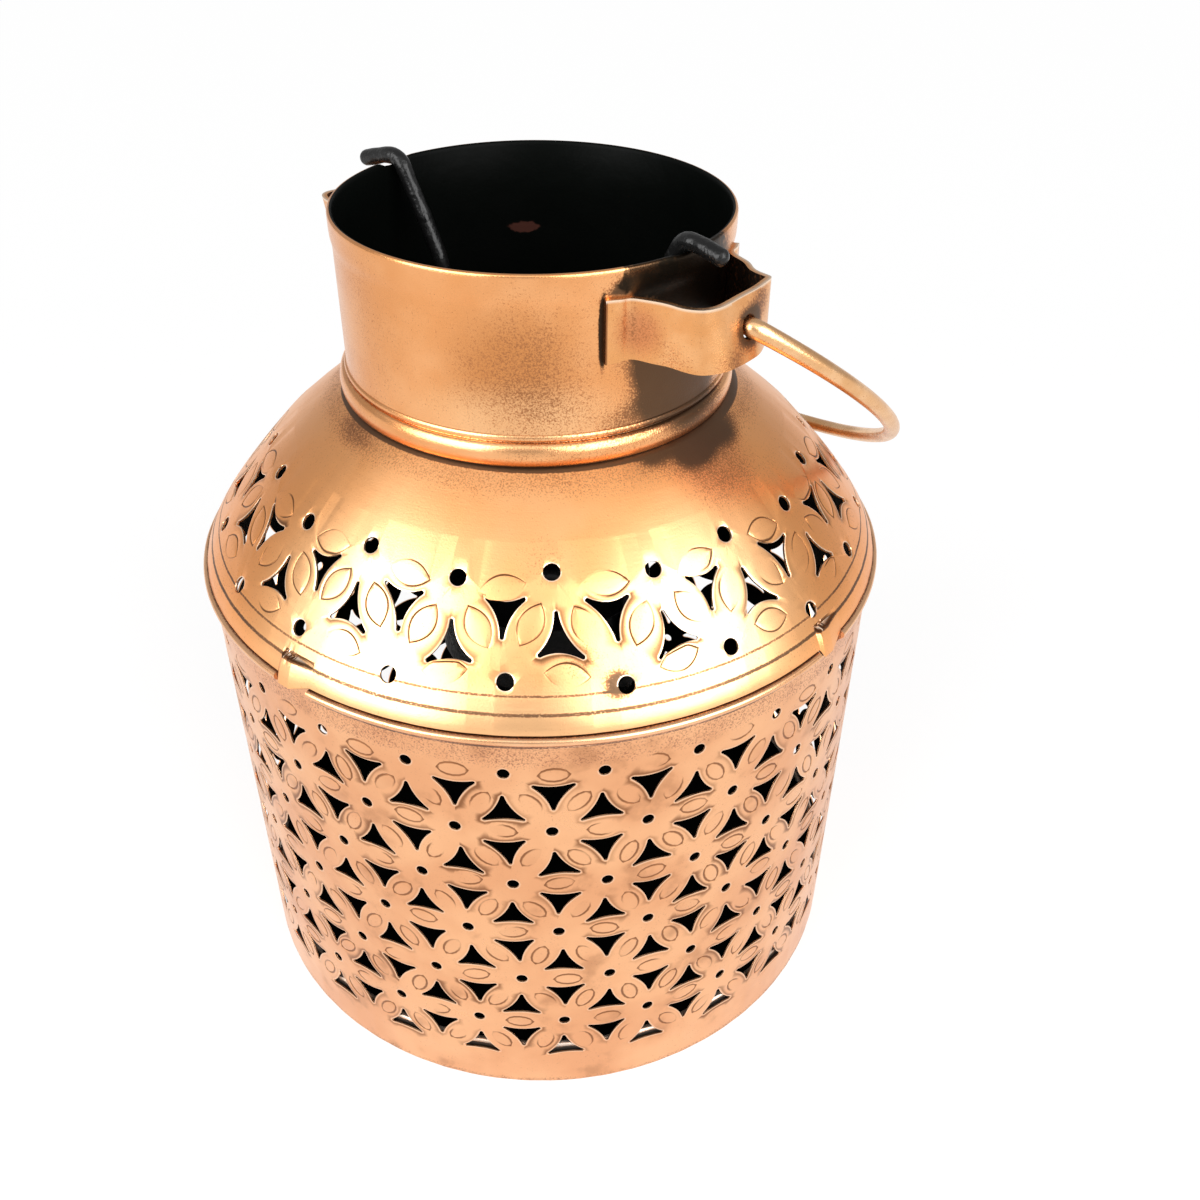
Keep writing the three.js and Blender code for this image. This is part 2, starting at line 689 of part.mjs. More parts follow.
function wireHanger() {
  const hookZ = neckTop + CLEARANCE + hangerRadius;
  const hookRoot = NECK_RADIUS - SHEET - CLEARANCE - hangerRadius;
  const side = (azimuthDeg) => {
    const azimuth = radians(azimuthDeg);
    return [
      polar(NECK_RADIUS + HOOK_OVERHANG, azimuth, hookZ),
      polar(hookRoot, azimuth, hookZ),
      polar(legRadius, azimuth, hookZ - LEG_LEAN_DROP),
      polar(legRadius, azimuth, barZ),
    ];
  };
  const centre = new THREE.Vector3(0, 0, barZ);
  const corners = [...side(HOOK_AZIMUTHS_DEG[0]), centre, ...side(HOOK_AZIMUTHS_DEG[1]).reverse()];
  return wire(rounded(corners, HANGER_BEND, HANGER_BEND_STEPS), HANGER_WIRE);
}

function candleCup() {
  const inner = CUP_RADIUS - CUP_WALL;
  const edge = [0, 1 / 3, 2 / 3, 1].map((share) => {
    const angle = (share * Math.PI) / 2;
    const out = CUP_RADIUS - CUP_EDGE_ROUND * (1 - Math.sin(angle));
    return [out, CUP_FLOOR_Z + CUP_EDGE_ROUND * (1 - Math.cos(angle))];
  });
  const profile = [
    [0, CUP_FLOOR_Z],
    ...edge,
    [CUP_RADIUS, CUP_FLOOR_Z + CUP_HEIGHT],
    [inner, CUP_FLOOR_Z + CUP_HEIGHT],
    [inner, CUP_FLOOR_Z + CUP_EDGE_ROUND],
    [inner - CUP_EDGE_ROUND + CUP_WALL, CUP_FLOOR_Z + CUP_WALL],
    [0, CUP_FLOOR_Z + CUP_WALL],
  ];
  return turned(profile, ROUND_SEGMENTS);
}

function finish(color, roughness, metalness) {
  return new THREE.MeshStandardMaterial({ color, roughness, metalness });
}

const lantern = new THREE.Group();

function addPiece(name, geometry, material) {
  const mesh = new THREE.Mesh(geometry, material);
  mesh.name = name;
  lantern.add(mesh);
}

addPiece('drum_shell', drumShell(), finish(COPPER, 0.38, 1));
addPiece('base_disc', baseDisc(), finish(COPPER, 0.45, 1));
addPiece('shoulder_dome', shoulderDome(), finish(GOLD, 0.3, 1));
addPiece('neck_tube', neckTube(), finish(GOLD, 0.32, 1));
for (const [name, azimuth] of Object.entries(EAR_AZIMUTHS_DEG)) {
  addPiece(name, ear(azimuth), finish(GOLD, 0.35, 1));
}
addPiece('bail', bail(), finish(GOLD, 0.3, 1));
addPiece('wire_hanger', wireHanger(), finish(BLACK, 0.35, 0));
addPiece('candle_cup', candleCup(), finish(BLACK, 0.5, 0));

export default lantern;
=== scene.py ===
"""Looks of a pierced metal tealight lantern, dressed over its packed construction frame.

A copper drum and a gold shoulder are pierced with a lattice of stars, eyelets and stamped lenses. A plain
gold neck stands on the shoulder, two strap ears on it carry a wire bail, and a black wire hanger hooks
over its rim and holds a candle cup inside. Metres, +Z up, origin at the middle of the base. Azimuth 0
faces -Y, where the viewer stands, and grows towards +X.
"""

import logging
import math
from dataclasses import dataclass, field
from enum import Enum
from typing import Callable

import bpy
import numpy as np
from mathutils import Matrix


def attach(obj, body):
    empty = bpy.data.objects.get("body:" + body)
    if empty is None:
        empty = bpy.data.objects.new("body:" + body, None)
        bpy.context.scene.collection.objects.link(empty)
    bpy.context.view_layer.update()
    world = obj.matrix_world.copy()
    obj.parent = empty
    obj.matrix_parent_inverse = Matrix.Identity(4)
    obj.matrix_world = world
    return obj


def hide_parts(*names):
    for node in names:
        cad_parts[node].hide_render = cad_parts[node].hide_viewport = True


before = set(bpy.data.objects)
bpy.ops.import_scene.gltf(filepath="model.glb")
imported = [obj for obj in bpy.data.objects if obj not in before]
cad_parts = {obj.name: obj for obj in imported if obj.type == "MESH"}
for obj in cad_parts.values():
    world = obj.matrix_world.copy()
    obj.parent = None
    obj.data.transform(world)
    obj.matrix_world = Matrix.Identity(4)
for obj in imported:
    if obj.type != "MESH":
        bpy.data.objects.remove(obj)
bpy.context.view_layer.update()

log = logging.getLogger("lantern")

Array = np.ndarray
Colour = tuple[float, float, float]
Place = tuple[float, float, float]
Range = tuple[float, float]
Bend = Callable[[Array, Array], Array]

MM = 0.001
FULL_TURN = 2 * math.pi
UP = np.array([0.0, 0.0, 1.0])
SLACK = 1e-6
TINY = 1e-9
SCATTER_RATES = (127.1, 311.7)
SCATTER_GAIN = 43758.5453
WELD_STEPS = 62831853
WELD_STEP = FULL_TURN / WELD_STEPS
SHARP_ANGLE = math.radians(38)


class Body(Enum):
    """Bodies of the frame that the pieces ride on."""

    LANTERN = "lantern"
    BAIL = "bail"
    HANGER = "hanger"


class Slot(Enum):
    """Material slots of the record."""

    COPPER_DRUM = "copper_drum"
    COPPER_BASE = "copper_base"
    GOLD_SHOULDER = "gold_shoulder"
    GOLD_NECK = "gold_neck"
    GOLD_EAR = "gold_ear"
    GOLD_WIRE = "gold_wire"
    BLACK_WIRE = "black_wire"
    BLACK_CUP = "black_cup"


class Draw(Enum):
    """What a number is drawn for, with its seed."""

    SLANT = 1.0
    UNEVEN = 2.0
    LENS_TURN = 3.0
    LENS_ASIDE = 4.0
    LENS_UP = 5.0
    GRAIN = 6.0
    SHADE = 7.0
    STRIKE = 8.0


def unit(vectors: Array) -> Array:
    """Vectors divided by their lengths."""
    return vectors / np.linalg.norm(vectors, axis=-1, keepdims=True)


def smooth(share: Array) -> Array:
    """A share eased from 0 to 1: three squares less two cubes."""
    held = np.clip(share, 0.0, 1.0)
    return held * held * (3.0 - 2.0 * held)


def ramp(value: Array, start: float, length: float) -> Array:
    """A value eased from 0 at start to 1 after a length."""
    return smooth((value - start) / length)


def waves(along: Array, terms: tuple[Range, ...]) -> Array:
    """A sum of sines, each with a rate and a start."""
    return sum(np.sin(along * rate + start) for rate, start in terms)


def polar(radius: Array, azimuth: Array, height: Array) -> Array:
    """Points at radii, azimuths and heights about the lantern's axis."""
    across = np.broadcast_arrays(radius * np.sin(azimuth), -radius * np.cos(azimuth), height)
    return np.stack(across, axis=-1)


def wrapped(angle: Array) -> Array:
    """Angles brought between minus half a turn and half a turn."""
    return (angle + math.pi) % FULL_TURN - math.pi


def scatter(first: Array, second: Array, draw: Draw) -> Array:
    """A number from 0 to 1 for each pair, with no visible order: the tail of a large sine."""
    rate, other = SCATTER_RATES
    mixed = np.sin(np.round(first, 4) * rate + np.round(second, 4) * other + draw.value) * SCATTER_GAIN
    return mixed - np.floor(mixed)


def draw_at(flat: Array, draw: Draw) -> Array:
    """A number from 0 to 1 for each place (azimuth, w), the same one after a full turn."""
    return scatter(np.cos(flat[:, 0]) + 2 * np.sin(flat[:, 0]), flat[:, 1], draw)


def on_circle(angle: Array) -> Array:
    """Flat unit vectors at angles."""
    return np.stack([np.cos(angle), np.sin(angle)], axis=-1)


def bow(start: Array, pull: Array, end: Array, t: Array) -> Array:
    """Points at shares t of a curve from start to end, pulled towards a third point."""
    return start * (1 - t) ** 2 + pull * 2 * t * (1 - t) + end * t**2


def turned(vectors: Array, angles: Array) -> Array:
    """Flat vectors turned anticlockwise by angles."""
    cosine, sine = np.cos(angles), np.sin(angles)
    x, y = vectors[..., 0], vectors[..., 1]
    return np.stack([x * cosine - y * sine, x * sine + y * cosine], axis=-1)


def fan(start: Array, end: Array, shares: Array) -> Array:
    """Flat unit vectors swung the short way from start to end.

    Args:
        start: First directions, shaped (n, 2).
        end: Last directions, shaped (n, 2).
        shares: Shares of the swing, shaped (k,).

    Returns:
        Directions shaped (n, k, 2).
    """
    cross = start[:, 0] * end[:, 1] - start[:, 1] * end[:, 0]
    swing = np.arctan2(cross, np.sum(start * end, axis=-1))
    return turned(start[:, None, :], swing[:, None] * shares)


def grid_quads(count: int, rows: int, columns: int) -> Array:
    """Quads of a batch of grids whose corners are numbered grid by grid and row by row.

    Args:
        count: Number of grids.
        rows: Corner rows of a grid.
        columns: Corner columns of a grid.

    Returns:
        Corner numbers shaped (quads, 4), anticlockwise where columns run right and rows run up.
    """
    first = np.arange(rows - 1)[:, None] * columns + np.arange(columns - 1)
    quad = np.stack([first, first + 1, first + columns + 1, first + columns], axis=-1).reshape(-1, 4)
    return (np.arange(count)[:, None, None] * rows * columns + quad).reshape(-1, 4)


def clean_faces(quads: Array) -> list[Array]:
    """Quads without collapsed sides: whole quads, and triangles where one side has no length.

    Args:
        quads: Corner numbers shaped (n, 4).

    Returns:
        The whole quads and the triangles.
    """
    collapsed = quads == np.roll(quads, -1, axis=1)
    lost = collapsed.sum(axis=1)
    thin = lost == 1
    return [quads[lost == 0], quads[thin][~collapsed[thin]].reshape(-1, 3)]


def free_edges(faces: list[Array]) -> Array:
    """Edges that only one face uses, in that face's own direction, shaped (n, 2)."""
    edges = np.concatenate([np.stack([f, np.roll(f, -1, axis=1)], axis=-1).reshape(-1, 2) for f in faces])
    ordered = np.sort(edges, axis=1)
    _, first, uses = np.unique(ordered, axis=0, return_index=True, return_counts=True)
    return edges[first[uses == 1]]


@dataclass
class Piece:
    """One mesh of the lantern, with marks that its finish reads."""

    name: str
    points: Array
    faces: list[Array]
    inside: list[bool]
    marks: dict[str, Array] = field(default_factory=dict)

    def make(self, finishes: list[bpy.types.Material], even: bool = False) -> bpy.types.Object:
        """Puts the arrays into a mesh and dresses it.

        Args:
            finishes: Outer finish, and a second one for the faces inside.
            even: Whether large faces keep their own shading beside narrow ones.

        Returns:
            The new object, at the origin.
        """
        mesh = bpy.data.meshes.new(self.name)
        faces = [corners for group in self.faces for corners in group.tolist()]
        mesh.from_pydata(self.points.tolist(), [], faces)
        slots = [np.full(len(g), int(i), dtype=np.int32) for g, i in zip(self.faces, self.inside)]
        mesh.polygons.foreach_set("material_index", np.concatenate(slots))
        for mark, values in self.marks.items():
            layer = mesh.attributes.new(mark, "FLOAT", "POINT")
            layer.data.foreach_set("value", values.astype(np.float32))
        for finish in finishes:
            mesh.materials.append(finish)
        mesh.shade_smooth()
        mesh.set_sharp_from_angle(angle=SHARP_ANGLE)
        mesh.update()
        made = bpy.data.objects.new(self.name, mesh)
        bpy.context.scene.collection.objects.link(made)
        if even:
            weigh = made.modifiers.new("even_shading", "WEIGHTED_NORMAL")
            weigh.mode = "FACE_AREA"
            weigh.keep_sharp = True
        return made


def settle(made: bpy.types.Object, body: Body, slot: Slot, *nodes: str) -> None:
    """Rides a piece on its body, hides the frame's parts for the nodes it stands for, and logs it.

    Args:
        made: The finished piece.
        body: Body that it moves with.
        slot: Slot that it takes its finish from; not used.
        nodes: Nodes of the frame that it replaces.
    """
    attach(made, body.value)
    if nodes:
        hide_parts(*nodes)
    log.info("%s: %d faces on %s", made.name, len(made.data.polygons), body.value)


def welded(name: str, points: Array, quads: Array, inside: Array) -> Piece:
    """A piece from a grid of points whose equal points are joined.

    Args:
        name: Name of the piece.
        points: Corners shaped (n, 3).
        quads: Corner numbers shaped (m, 4).
        inside: Whether each quad gets the second finish, shaped (m,).

    Returns:
        The piece.
    """
    _, first, place = np.unique(np.round(points, 8), axis=0, return_index=True, return_inverse=True)
    place = place.reshape(-1)
    groups = []
    flags = []
    for flag in (False, True):
        for group in clean_faces(place[quads[inside == flag]]):
            groups.append(group)
            flags.append(flag)
    return Piece(name, points[first], groups, flags)


def lathe(name: str, outline: Array, inside: Array, steps: int) -> Piece:
    """A closed outline of radius and height turned about the axis.

    Args:
        name: Name of the piece.
        outline: Points (radius, height) shaped (n, 2), anticlockwise, the last joined to the first.
        inside: Whether the stretch that starts at each point gets the second finish, shaped (n,).
        steps: Steps in a full turn.

    Returns:
        The piece.
    """
    azimuth = np.linspace(0, FULL_TURN, steps + 1)
    azimuth[-1] = 0.0
    ring = np.vstack([outline, outline[:1]])
    points = polar(ring[:, :1], azimuth[None, :], ring[:, 1:])
    quads = grid_quads(1, len(ring), steps + 1)
    return welded(name, points.reshape(-1, 3), quads, np.repeat(inside, steps))


def wire_tube(name: str, path: Array, side: Array, radius: Array, sides: int) -> Piece:
    """A round wire: a circle carried along a path, closed at both ends by its last radii of 0.

    Args:
        name: Name of the piece.
        path: Middle line shaped (n, 3).
        side: A direction across the wire at each point, shaped (n, 3).
        radius: Radius at each point, shaped (n,).
        sides: Sides of the circle.

    Returns:
        The piece.
    """
    ahead = unit(np.gradient(path, axis=0))
    across = unit(side - ahead * np.sum(side * ahead, axis=-1, keepdims=True))
    over = np.cross(ahead, across)
    angle = np.linspace(0, FULL_TURN, sides + 1)
    angle[-1] = 0.0
    around = across[:, None] * np.cos(angle)[:, None] + over[:, None] * np.sin(angle)[:, None]
    points = path[:, None] + around * radius[:, None, None]
    quads = grid_quads(1, len(path), sides + 1)
    return welded(name, points.reshape(-1, 3), quads, np.zeros(len(quads), dtype=bool))


def with_round_ends(path: Array, radius: float, steps: int) -> tuple[Array, Array]:
    """A wire's path with a dome added at each end: the radius falls as a quarter circle.

    Args:
        path: Middle line shaped (n, 3).
        radius: Radius of the wire.
        steps: Rings of each dome.

    Returns:
        The longer path and the radius at each of its points.
    """
    swell = np.linspace(0, math.pi / 2, steps + 1)[1:]
    first = unit(path[0] - path[1])
    last = unit(path[-1] - path[-2])
    head = path[0] + first * radius * np.sin(swell)[::-1, None]
    tail = path[-1] + last * radius * np.sin(swell)[:, None]
    fall = radius * np.cos(swell)
    fall[-1] = 0.0
    radii = np.concatenate([fall[::-1], np.full(len(path), radius), fall])
    return np.vstack([head, path, tail]), radii


def rounded_path(corners: Array, distances: Array, steps: int) -> Array:
    """A path through corners, each rounded by a curve that leaves the straights at a distance from it.

    Args:
        corners: Corner points shaped (n, d).
        distances: Distance at each inner corner, shaped (n - 2,).
        steps: Steps of each curve.

    Returns:
        The points of the path.
    """
    here = corners[1:-1]
    back = here + unit(corners[:-2] - here) * distances[:, None]
    on = here + unit(corners[2:] - here) * distances[:, None]
    t = np.linspace(0, 1, steps + 1)[None, :, None]
    curves = bow(back[:, None], here[:, None], on[:, None], t)
    return np.vstack([corners[:1], curves.reshape(-1, corners.shape[1]), corners[-1:]])


def even_steps(path: Array, count: int) -> Array:
    """A path resampled at even distances, shaped (count, d)."""
    length = np.concatenate([[0.0], np.cumsum(np.linalg.norm(np.diff(path, axis=0), axis=1))])
    wanted = np.linspace(0, length[-1], count)
    return np.stack([np.interp(wanted, length, path[:, k]) for k in range(path.shape[1])], axis=-1)


def through(points: Array, steps: int) -> Array:
    """A smooth path through points: on each stretch a cubic whose ends aim along the neighbours.

    Args:
        points: Points shaped (n, d).
        steps: Steps of each stretch.

    Returns:
        The points of the path.
    """
    padded = np.vstack([2 * points[:1] - points[1:2], points, 2 * points[-1:] - points[-2:-1]])
    a, b, c, d = padded[:-3], padded[1:-2], padded[2:-1], padded[3:]
    t = np.linspace(0, 1, steps + 1)[:-1][None, :, None]
    a, b, c, d = (p[:, None, :] for p in (a, b, c, d))
    curve = b + 0.5 * t * (c - a + t * (2 * a - 5 * b + 4 * c - d + t * (3 * (b - c) + d - a)))
    return np.vstack([curve.reshape(-1, points.shape[1]), points[-1:]])


class Outline:
    """An outline turned about the lantern's axis and measured in even angles.

    Along the outline, w grows by the length divided by the radius, as azimuth does around it, so a small
    figure drawn in (azimuth, w) keeps its shape on the metal.
    """

    def __init__(self, radius: Array, height: Array) -> None:
        """Measures the outline, from its foot upwards."""
        length = np.hypot(np.diff(radius), np.diff(height))
        self.w = np.concatenate([[0.0], np.cumsum(length * 2 / (radius[1:] + radius[:-1]))])
        self.radius = radius
        self.height = height
        normal = unit(np.stack([np.gradient(height, self.w), -np.gradient(radius, self.w)], axis=-1))
        self.out, self.up = normal[:, 0], normal[:, 1]

    def radius_at(self, w: Array) -> Array:
        """Radius at places along the outline."""
        return np.interp(w, self.w, self.radius)

    def w_at_height(self, height: Array) -> Array:
        """Place along the outline at a height."""
        return np.interp(height, self.height, self.w)

    def w_at_radius(self, radius: Array) -> Array:
        """Place along the outline at a radius that shrinks upwards, above its widest point."""
        widest = int(np.argmax(self.radius))
        return np.interp(radius, self.radius[widest:][::-1], self.w[widest:][::-1])

    def bend(self, flat: Array, below: Array) -> Array:
        """Bends a flat sheet onto the outline.

        Args:
            flat: Places (azimuth, w) shaped (n, 2).
            below: Depth under the outer face, shaped (n,).

        Returns:
            Points shaped (n, 3).
        """
        w = flat[:, 1]
        radius = np.interp(w, self.w, self.radius) - below * np.interp(w, self.w, self.out)
        height = np.interp(w, self.w, self.height) - below * np.interp(w, self.w, self.up)
        return polar(radius, flat[:, 0], height)


@dataclass
class Patch:
    """A batch of grids on a flat sheet.

    flat holds places shaped (grids, rows, columns, 2). sunk is the depth of each under the plain face,
    groove is 1 on a stamped line and also carries painted shade, and rim is 1 on the edge of a hole, where a
    painted highlight colour goes.
    """

    flat: Array
    sunk: Array
    groove_and_shade: Array
    rim: Array

    @classmethod
    def plain(cls, flat: Array) -> "Patch":
        """Grids with no marks."""
        blank = np.zeros(flat.shape[:-1])
        return cls(flat, blank, blank, blank)

    def edges(self) -> "Patch":
        """The same grids with only their first and last rows."""
        return Patch(*(values[:, [0, -1]] for values in (self.flat, self.sunk, self.groove_and_shade, self.rim)))


class Sheet:
    """A sheet drawn flat, then bent onto an outer and an inner face with walls round every free edge."""

    def __init__(self, around: bool) -> None:
        """Starts an empty sheet, which closes on itself after a full turn if around is true."""
        self.around = around
        self.patches: list[Patch] = []

    def add(self, patch: Patch) -> None:
        """Adds a batch of grids."""
        self.patches.append(patch)

    def _keys(self, flat: Array) -> Array:
        """Whole numbers that are equal for equal places on the sheet."""
        keys = np.round(flat / WELD_STEP).astype(np.int64)
        if self.around:
            keys[:, 0] %= WELD_STEPS
        return keys

    def piece(self, name: str, bend: Bend, thickness: float, sparse: bool) -> Piece:
        """Joins the patches into one closed mesh.

        Args:
            name: Name of the piece.
            bend: Function from flat places and depths to points.
            thickness: Thickness of the metal.
            sparse: Whether the inner face uses only the first and last row of each patch.

        Returns:
            The piece, with marks for stamped lines and painted shade, and for the rims of holes.
        """
        flat = np.concatenate([p.flat.reshape(-1, 2) for p in self.patches])
        layers = zip(*((p.sunk, p.groove_and_shade, p.rim) for p in self.patches))
        sunk, groove_and_shade, rim = (np.concatenate([part.reshape(-1) for part in layer]) for layer in layers)
        _, first, place = np.unique(self._keys(flat), axis=0, return_index=True, return_inverse=True)
        place = place.reshape(-1)
        outer, inner = [], []
        base = 0
        for patch in self.patches:
            count, rows, columns, _ = patch.flat.shape
            outer.append(grid_quads(count, rows, columns) + base)
            numbers = (np.arange(count * rows * columns) + base).reshape(count, rows, columns)
            kept = numbers[:, [0, rows - 1]] if sparse else numbers
            inner.append(kept.reshape(-1)[grid_quads(count, kept.shape[1], columns)])
            base += count * rows * columns
        outer_faces = clean_faces(place[np.concatenate(outer)])
        inner_faces = clean_faces(place[np.concatenate(inner)])
        edges = free_edges(outer_faces)
        used = np.unique(np.concatenate([f.reshape(-1) for f in inner_faces] + [edges.reshape(-1)]))
        below = np.full(len(first), -1)
        below[used] = np.arange(len(used)) + len(first)
        walls = np.stack([edges[:, 1], edges[:, 0], below[edges[:, 0]], below[edges[:, 1]]], axis=-1)
        face = bend(flat[first], sunk[first])
        back = bend(flat[first][used], np.full(len(used), thickness))
        blank = np.zeros(len(used))
        marks = {
            "groove_and_shade": np.concatenate([groove_and_shade[first], blank]),
            "rim": np.concatenate([rim[first], blank]),
        }
        groups = outer_faces + [walls] + [below[f][:, ::-1] for f in inner_faces]
        flags = [False] * (len(outer_faces) + 1) + [True] * len(inner_faces)
        return Piece(name, np.vstack([face, back]), groups, flags, marks)


@dataclass
class Sides:
    """A batch of tile sides that run from nodes a to nodes b on the flat sheet.

    scale is the flat length of a metre on the metal, lens is 1 on the sides with a stamped lens, and lift
    is the length by which the lens is moved up. The nodes are shaped (n, 2) and the rest (n,).
    """

    a: Array
    b: Array
    scale: Array
    lens: Array
    lift: Array

    @classmethod
    def of_tiles(cls, corners: Array, scale: Array, lens: Array, lift: Array) -> list["Sides"]:
        """First sides of all tiles, then their second sides and so on.

        Args:
            corners: Corners shaped (n, sides, 2).
            scale: Flat length of a metre at each side, shaped (n, sides).
            lens: Whether each side has a lens, shaped (n, sides).
            lift: Length by which each lens is moved up, shaped (n, sides).

        Returns:
            One batch for each place in the order of the corners.
        """
        after = np.roll(corners, -1, axis=1)
        batches = range(corners.shape[1])
        return [cls(corners[:, k], after[:, k], scale[:, k], lens[:, k], lift[:, k]) for k in batches]

    def middle(self) -> Array:
        """Middles of the sides."""
        return (self.a + self.b) / 2

    def along(self) -> Array:
        """Directions of the sides."""
        return unit(self.b - self.a)

    def draw(self, draw: Draw) -> Array:
        """A number from 0 to 1 for each side, the same for its reverse."""
        return draw_at(self.middle(), draw)


@dataclass(frozen=True)
class Punches:
    """Punches of one lattice: an eyelet at each node, a star in each tile, a stamped lens on each side.

    Lengths are on the metal. star_reach and star_waist are shares of the way from a tile's middle to its
    corners and to the middles of its sides. All were struck by hand, so each star is turned by up to
    star_turn, and each lens is turned by up to lens_turn and off its place by up to lens_slip. lens_blunt
    is the power of a lens's outline: a half makes an ellipse, 1 makes two bows.
    """

    eyelet: float
    star_reach: float
    star_waist: float
    star_turn: float
    tip_round: float
    lens_length: float
    lens_width: float
    lens_blunt: float
    lens_turn: float
    lens_slip: float
    line_width: float
    line_depth: float
    roll: float
    roll_depth: float
    arc_steps: int
    lens_steps: int
    uneven: float

    CAP = math.radians(75)
    EDGE_SHARE = 0.09
    ROLL_SHARE = 0.2
    ROLL_LIMIT = 0.5
    CROWDING = (0.55, 0.45)
    PRESS = 1.15
    END_ROLL = 0.08
    PLAIN_ROWS = (0.35, 0.62)
    LINE_ROOM = (0.62, 0.74, 0.86)
    TIP_GUARD = 0.07
    LENS_TINT = 0.2
    EDGE_SHADE = 0.72

    def lens_run(self) -> Array:
        """Places along a lens from -1 to 1, closer together near its tips, and one just beyond each tip."""
        even = np.linspace(-1, 1, self.lens_steps + 1)
        run = self.CROWDING[0] * even + self.CROWDING[1] * np.sin(even * math.pi / 2)
        return np.concatenate([[-1 - self.TIP_GUARD], run, [1 + self.TIP_GUARD]])

    def columns(self, arcs: int) -> int:
        """Columns of a strip: an arc and a place beside it at each end, and the lens between them."""
        return 2 * (arcs + 2) + self.lens_steps + 3

    def lens_frame(self, sides: Sides) -> tuple[Array, Array]:
        """Middles and directions of the lenses, on the same line for a side and for its reverse."""
        turn = self.lens_turn * (2 * sides.draw(Draw.LENS_TURN) - 1)
        off = np.stack([sides.draw(Draw.LENS_ASIDE), sides.draw(Draw.LENS_UP)], axis=-1)
        slip = self.lens_slip * (2 * off - 1)
        slip[:, 1] += sides.lift
        return sides.middle() + slip * sides.scale[:, None], turned(sides.along(), turn)

    def outer_curve(self, sides: Sides, start: Array, end: Array, holes: Array, arcs: int) -> Array:
        """The side of a tile from eyelet to eyelet: an arc of the eyelet, the lens's axis, an arc.

        Args:
            sides: The sides.
            start: Directions in which the curve starts from its eyelet's middle, shaped (n, 2).
            end: Directions in which it ends, shaped (n, 2).
            holes: Radii of the two eyelets on the flat sheet, shaped (n, 2).
            arcs: Steps of each arc.

        Returns:
            Points shaped (n, columns, 2).
        """
        along = sides.along()
        middle, axis = self.lens_frame(sides)
        shares = np.arange(arcs + 1) / max(arcs, 1)
        beside = along * (self.roll * sides.scale)[:, None]
        near = sides.a[:, None] + fan(start, along, shares) * holes[:, :1, None]
        after = sides.a + along * holes[:, :1] + beside
        run = self.lens_run() * self.lens_length / 2 * sides.scale[:, None]
        lens = middle[:, None] + axis[:, None] * run[..., None]
        far = sides.b[:, None] + fan(-along, end, shares) * holes[:, 1:, None]
        before = sides.b - along * holes[:, 1:] - beside
        return np.concatenate([near, after[:, None], lens, before[:, None], far], axis=1)

    def star_side(self, sides: Sides, middle: Array, scale: Array) -> Array:
        """One side of a star: a rounded tip, a hollow curve through the waist and the next tip.

        Args:
            sides: Sides whose nodes the two tips point at.
            middle: Middles of the tiles, shaped (n, 2).
            scale: Flat length of a metre on the metal, shaped (n,).

        Returns:
            Points shaped (n, columns, 2).
        """
        rounding = (self.tip_round * scale)[:, None]
        steps = self.arc_steps + 2
        shares = np.arange(steps + 1) / steps
        turn = self.star_turn * (2 * draw_at(middle, Draw.STRIKE) - 1)
        way_a, way_b = turned(sides.a - middle, turn), turned(sides.b - middle, turn)
        to_a, to_b = unit(way_a), unit(way_b)
        hub_a = middle + way_a * self.star_reach - to_a * rounding
        hub_b = middle + way_b * self.star_reach - to_b * rounding
        side = np.sign(to_a[:, 0] * to_b[:, 1] - to_a[:, 1] * to_b[:, 0])[:, None] * self.CAP
        cap_a = hub_a[:, None] + turned(to_a[:, None], side * shares) * rounding[:, None]
        cap_b = hub_b[:, None] + turned(to_b[:, None], -side * shares[::-1]) * rounding[:, None]
        waist = middle + (way_a + way_b) / 2 * self.star_waist
        pull = 2 * waist - (cap_a[:, -1] + cap_b[:, 0]) / 2
        t = np.linspace(0, 1, self.lens_steps + 3)[None, :, None]
        hollow = bow(cap_a[:, -1:], pull[:, None], cap_b[:, :1], t)
        return np.concatenate([cap_a[:, :-1], hollow, cap_b[:, 1:]], axis=1)

    def plain_side(self, sides: Sides, level: float, arcs: int) -> Array:
        """A straight line at one level across from a side, with a column for each of the side's."""
        arc = np.broadcast_to(self.EDGE_SHARE * np.arange(arcs + 2) / (arcs + 2), (len(sides.a), arcs + 2))
        half = self.lens_length / 2 * sides.scale / np.linalg.norm(sides.b - sides.a, axis=-1)
        shares = np.concatenate([arc, 0.5 + half[:, None] * self.lens_run(), 1 - arc[:, ::-1]], axis=1)
        azimuth = sides.a[:, :1] + (sides.b[:, :1] - sides.a[:, :1]) * shares
        return np.stack([azimuth, np.full_like(azimuth, level)], axis=-1)

    def pressed(self, offset: Array, sides: Sides) -> Array:
        """How deep the lens lines are at places round them, from 0 to 1.

        The stamp was held at a slant, so a line fades with the cosine of the bearing from one direction.

        Args:
            offset: Places measured from the middles of their lenses, shaped (n, k, 2).
            sides: The sides that the lenses are on.

        Returns:
            Depths shaped (n, k).
        """
        slant = FULL_TURN * sides.draw(Draw.SLANT)
        amount = self.uneven * sides.draw(Draw.UNEVEN)
        bearing = np.arctan2(offset[..., 1], offset[..., 0])
        held = self.PRESS - amount[:, None] * (1 + np.cos(bearing - slant[:, None]))
        return np.clip(held, 0.0, 1.0) * sides.lens[:, None]

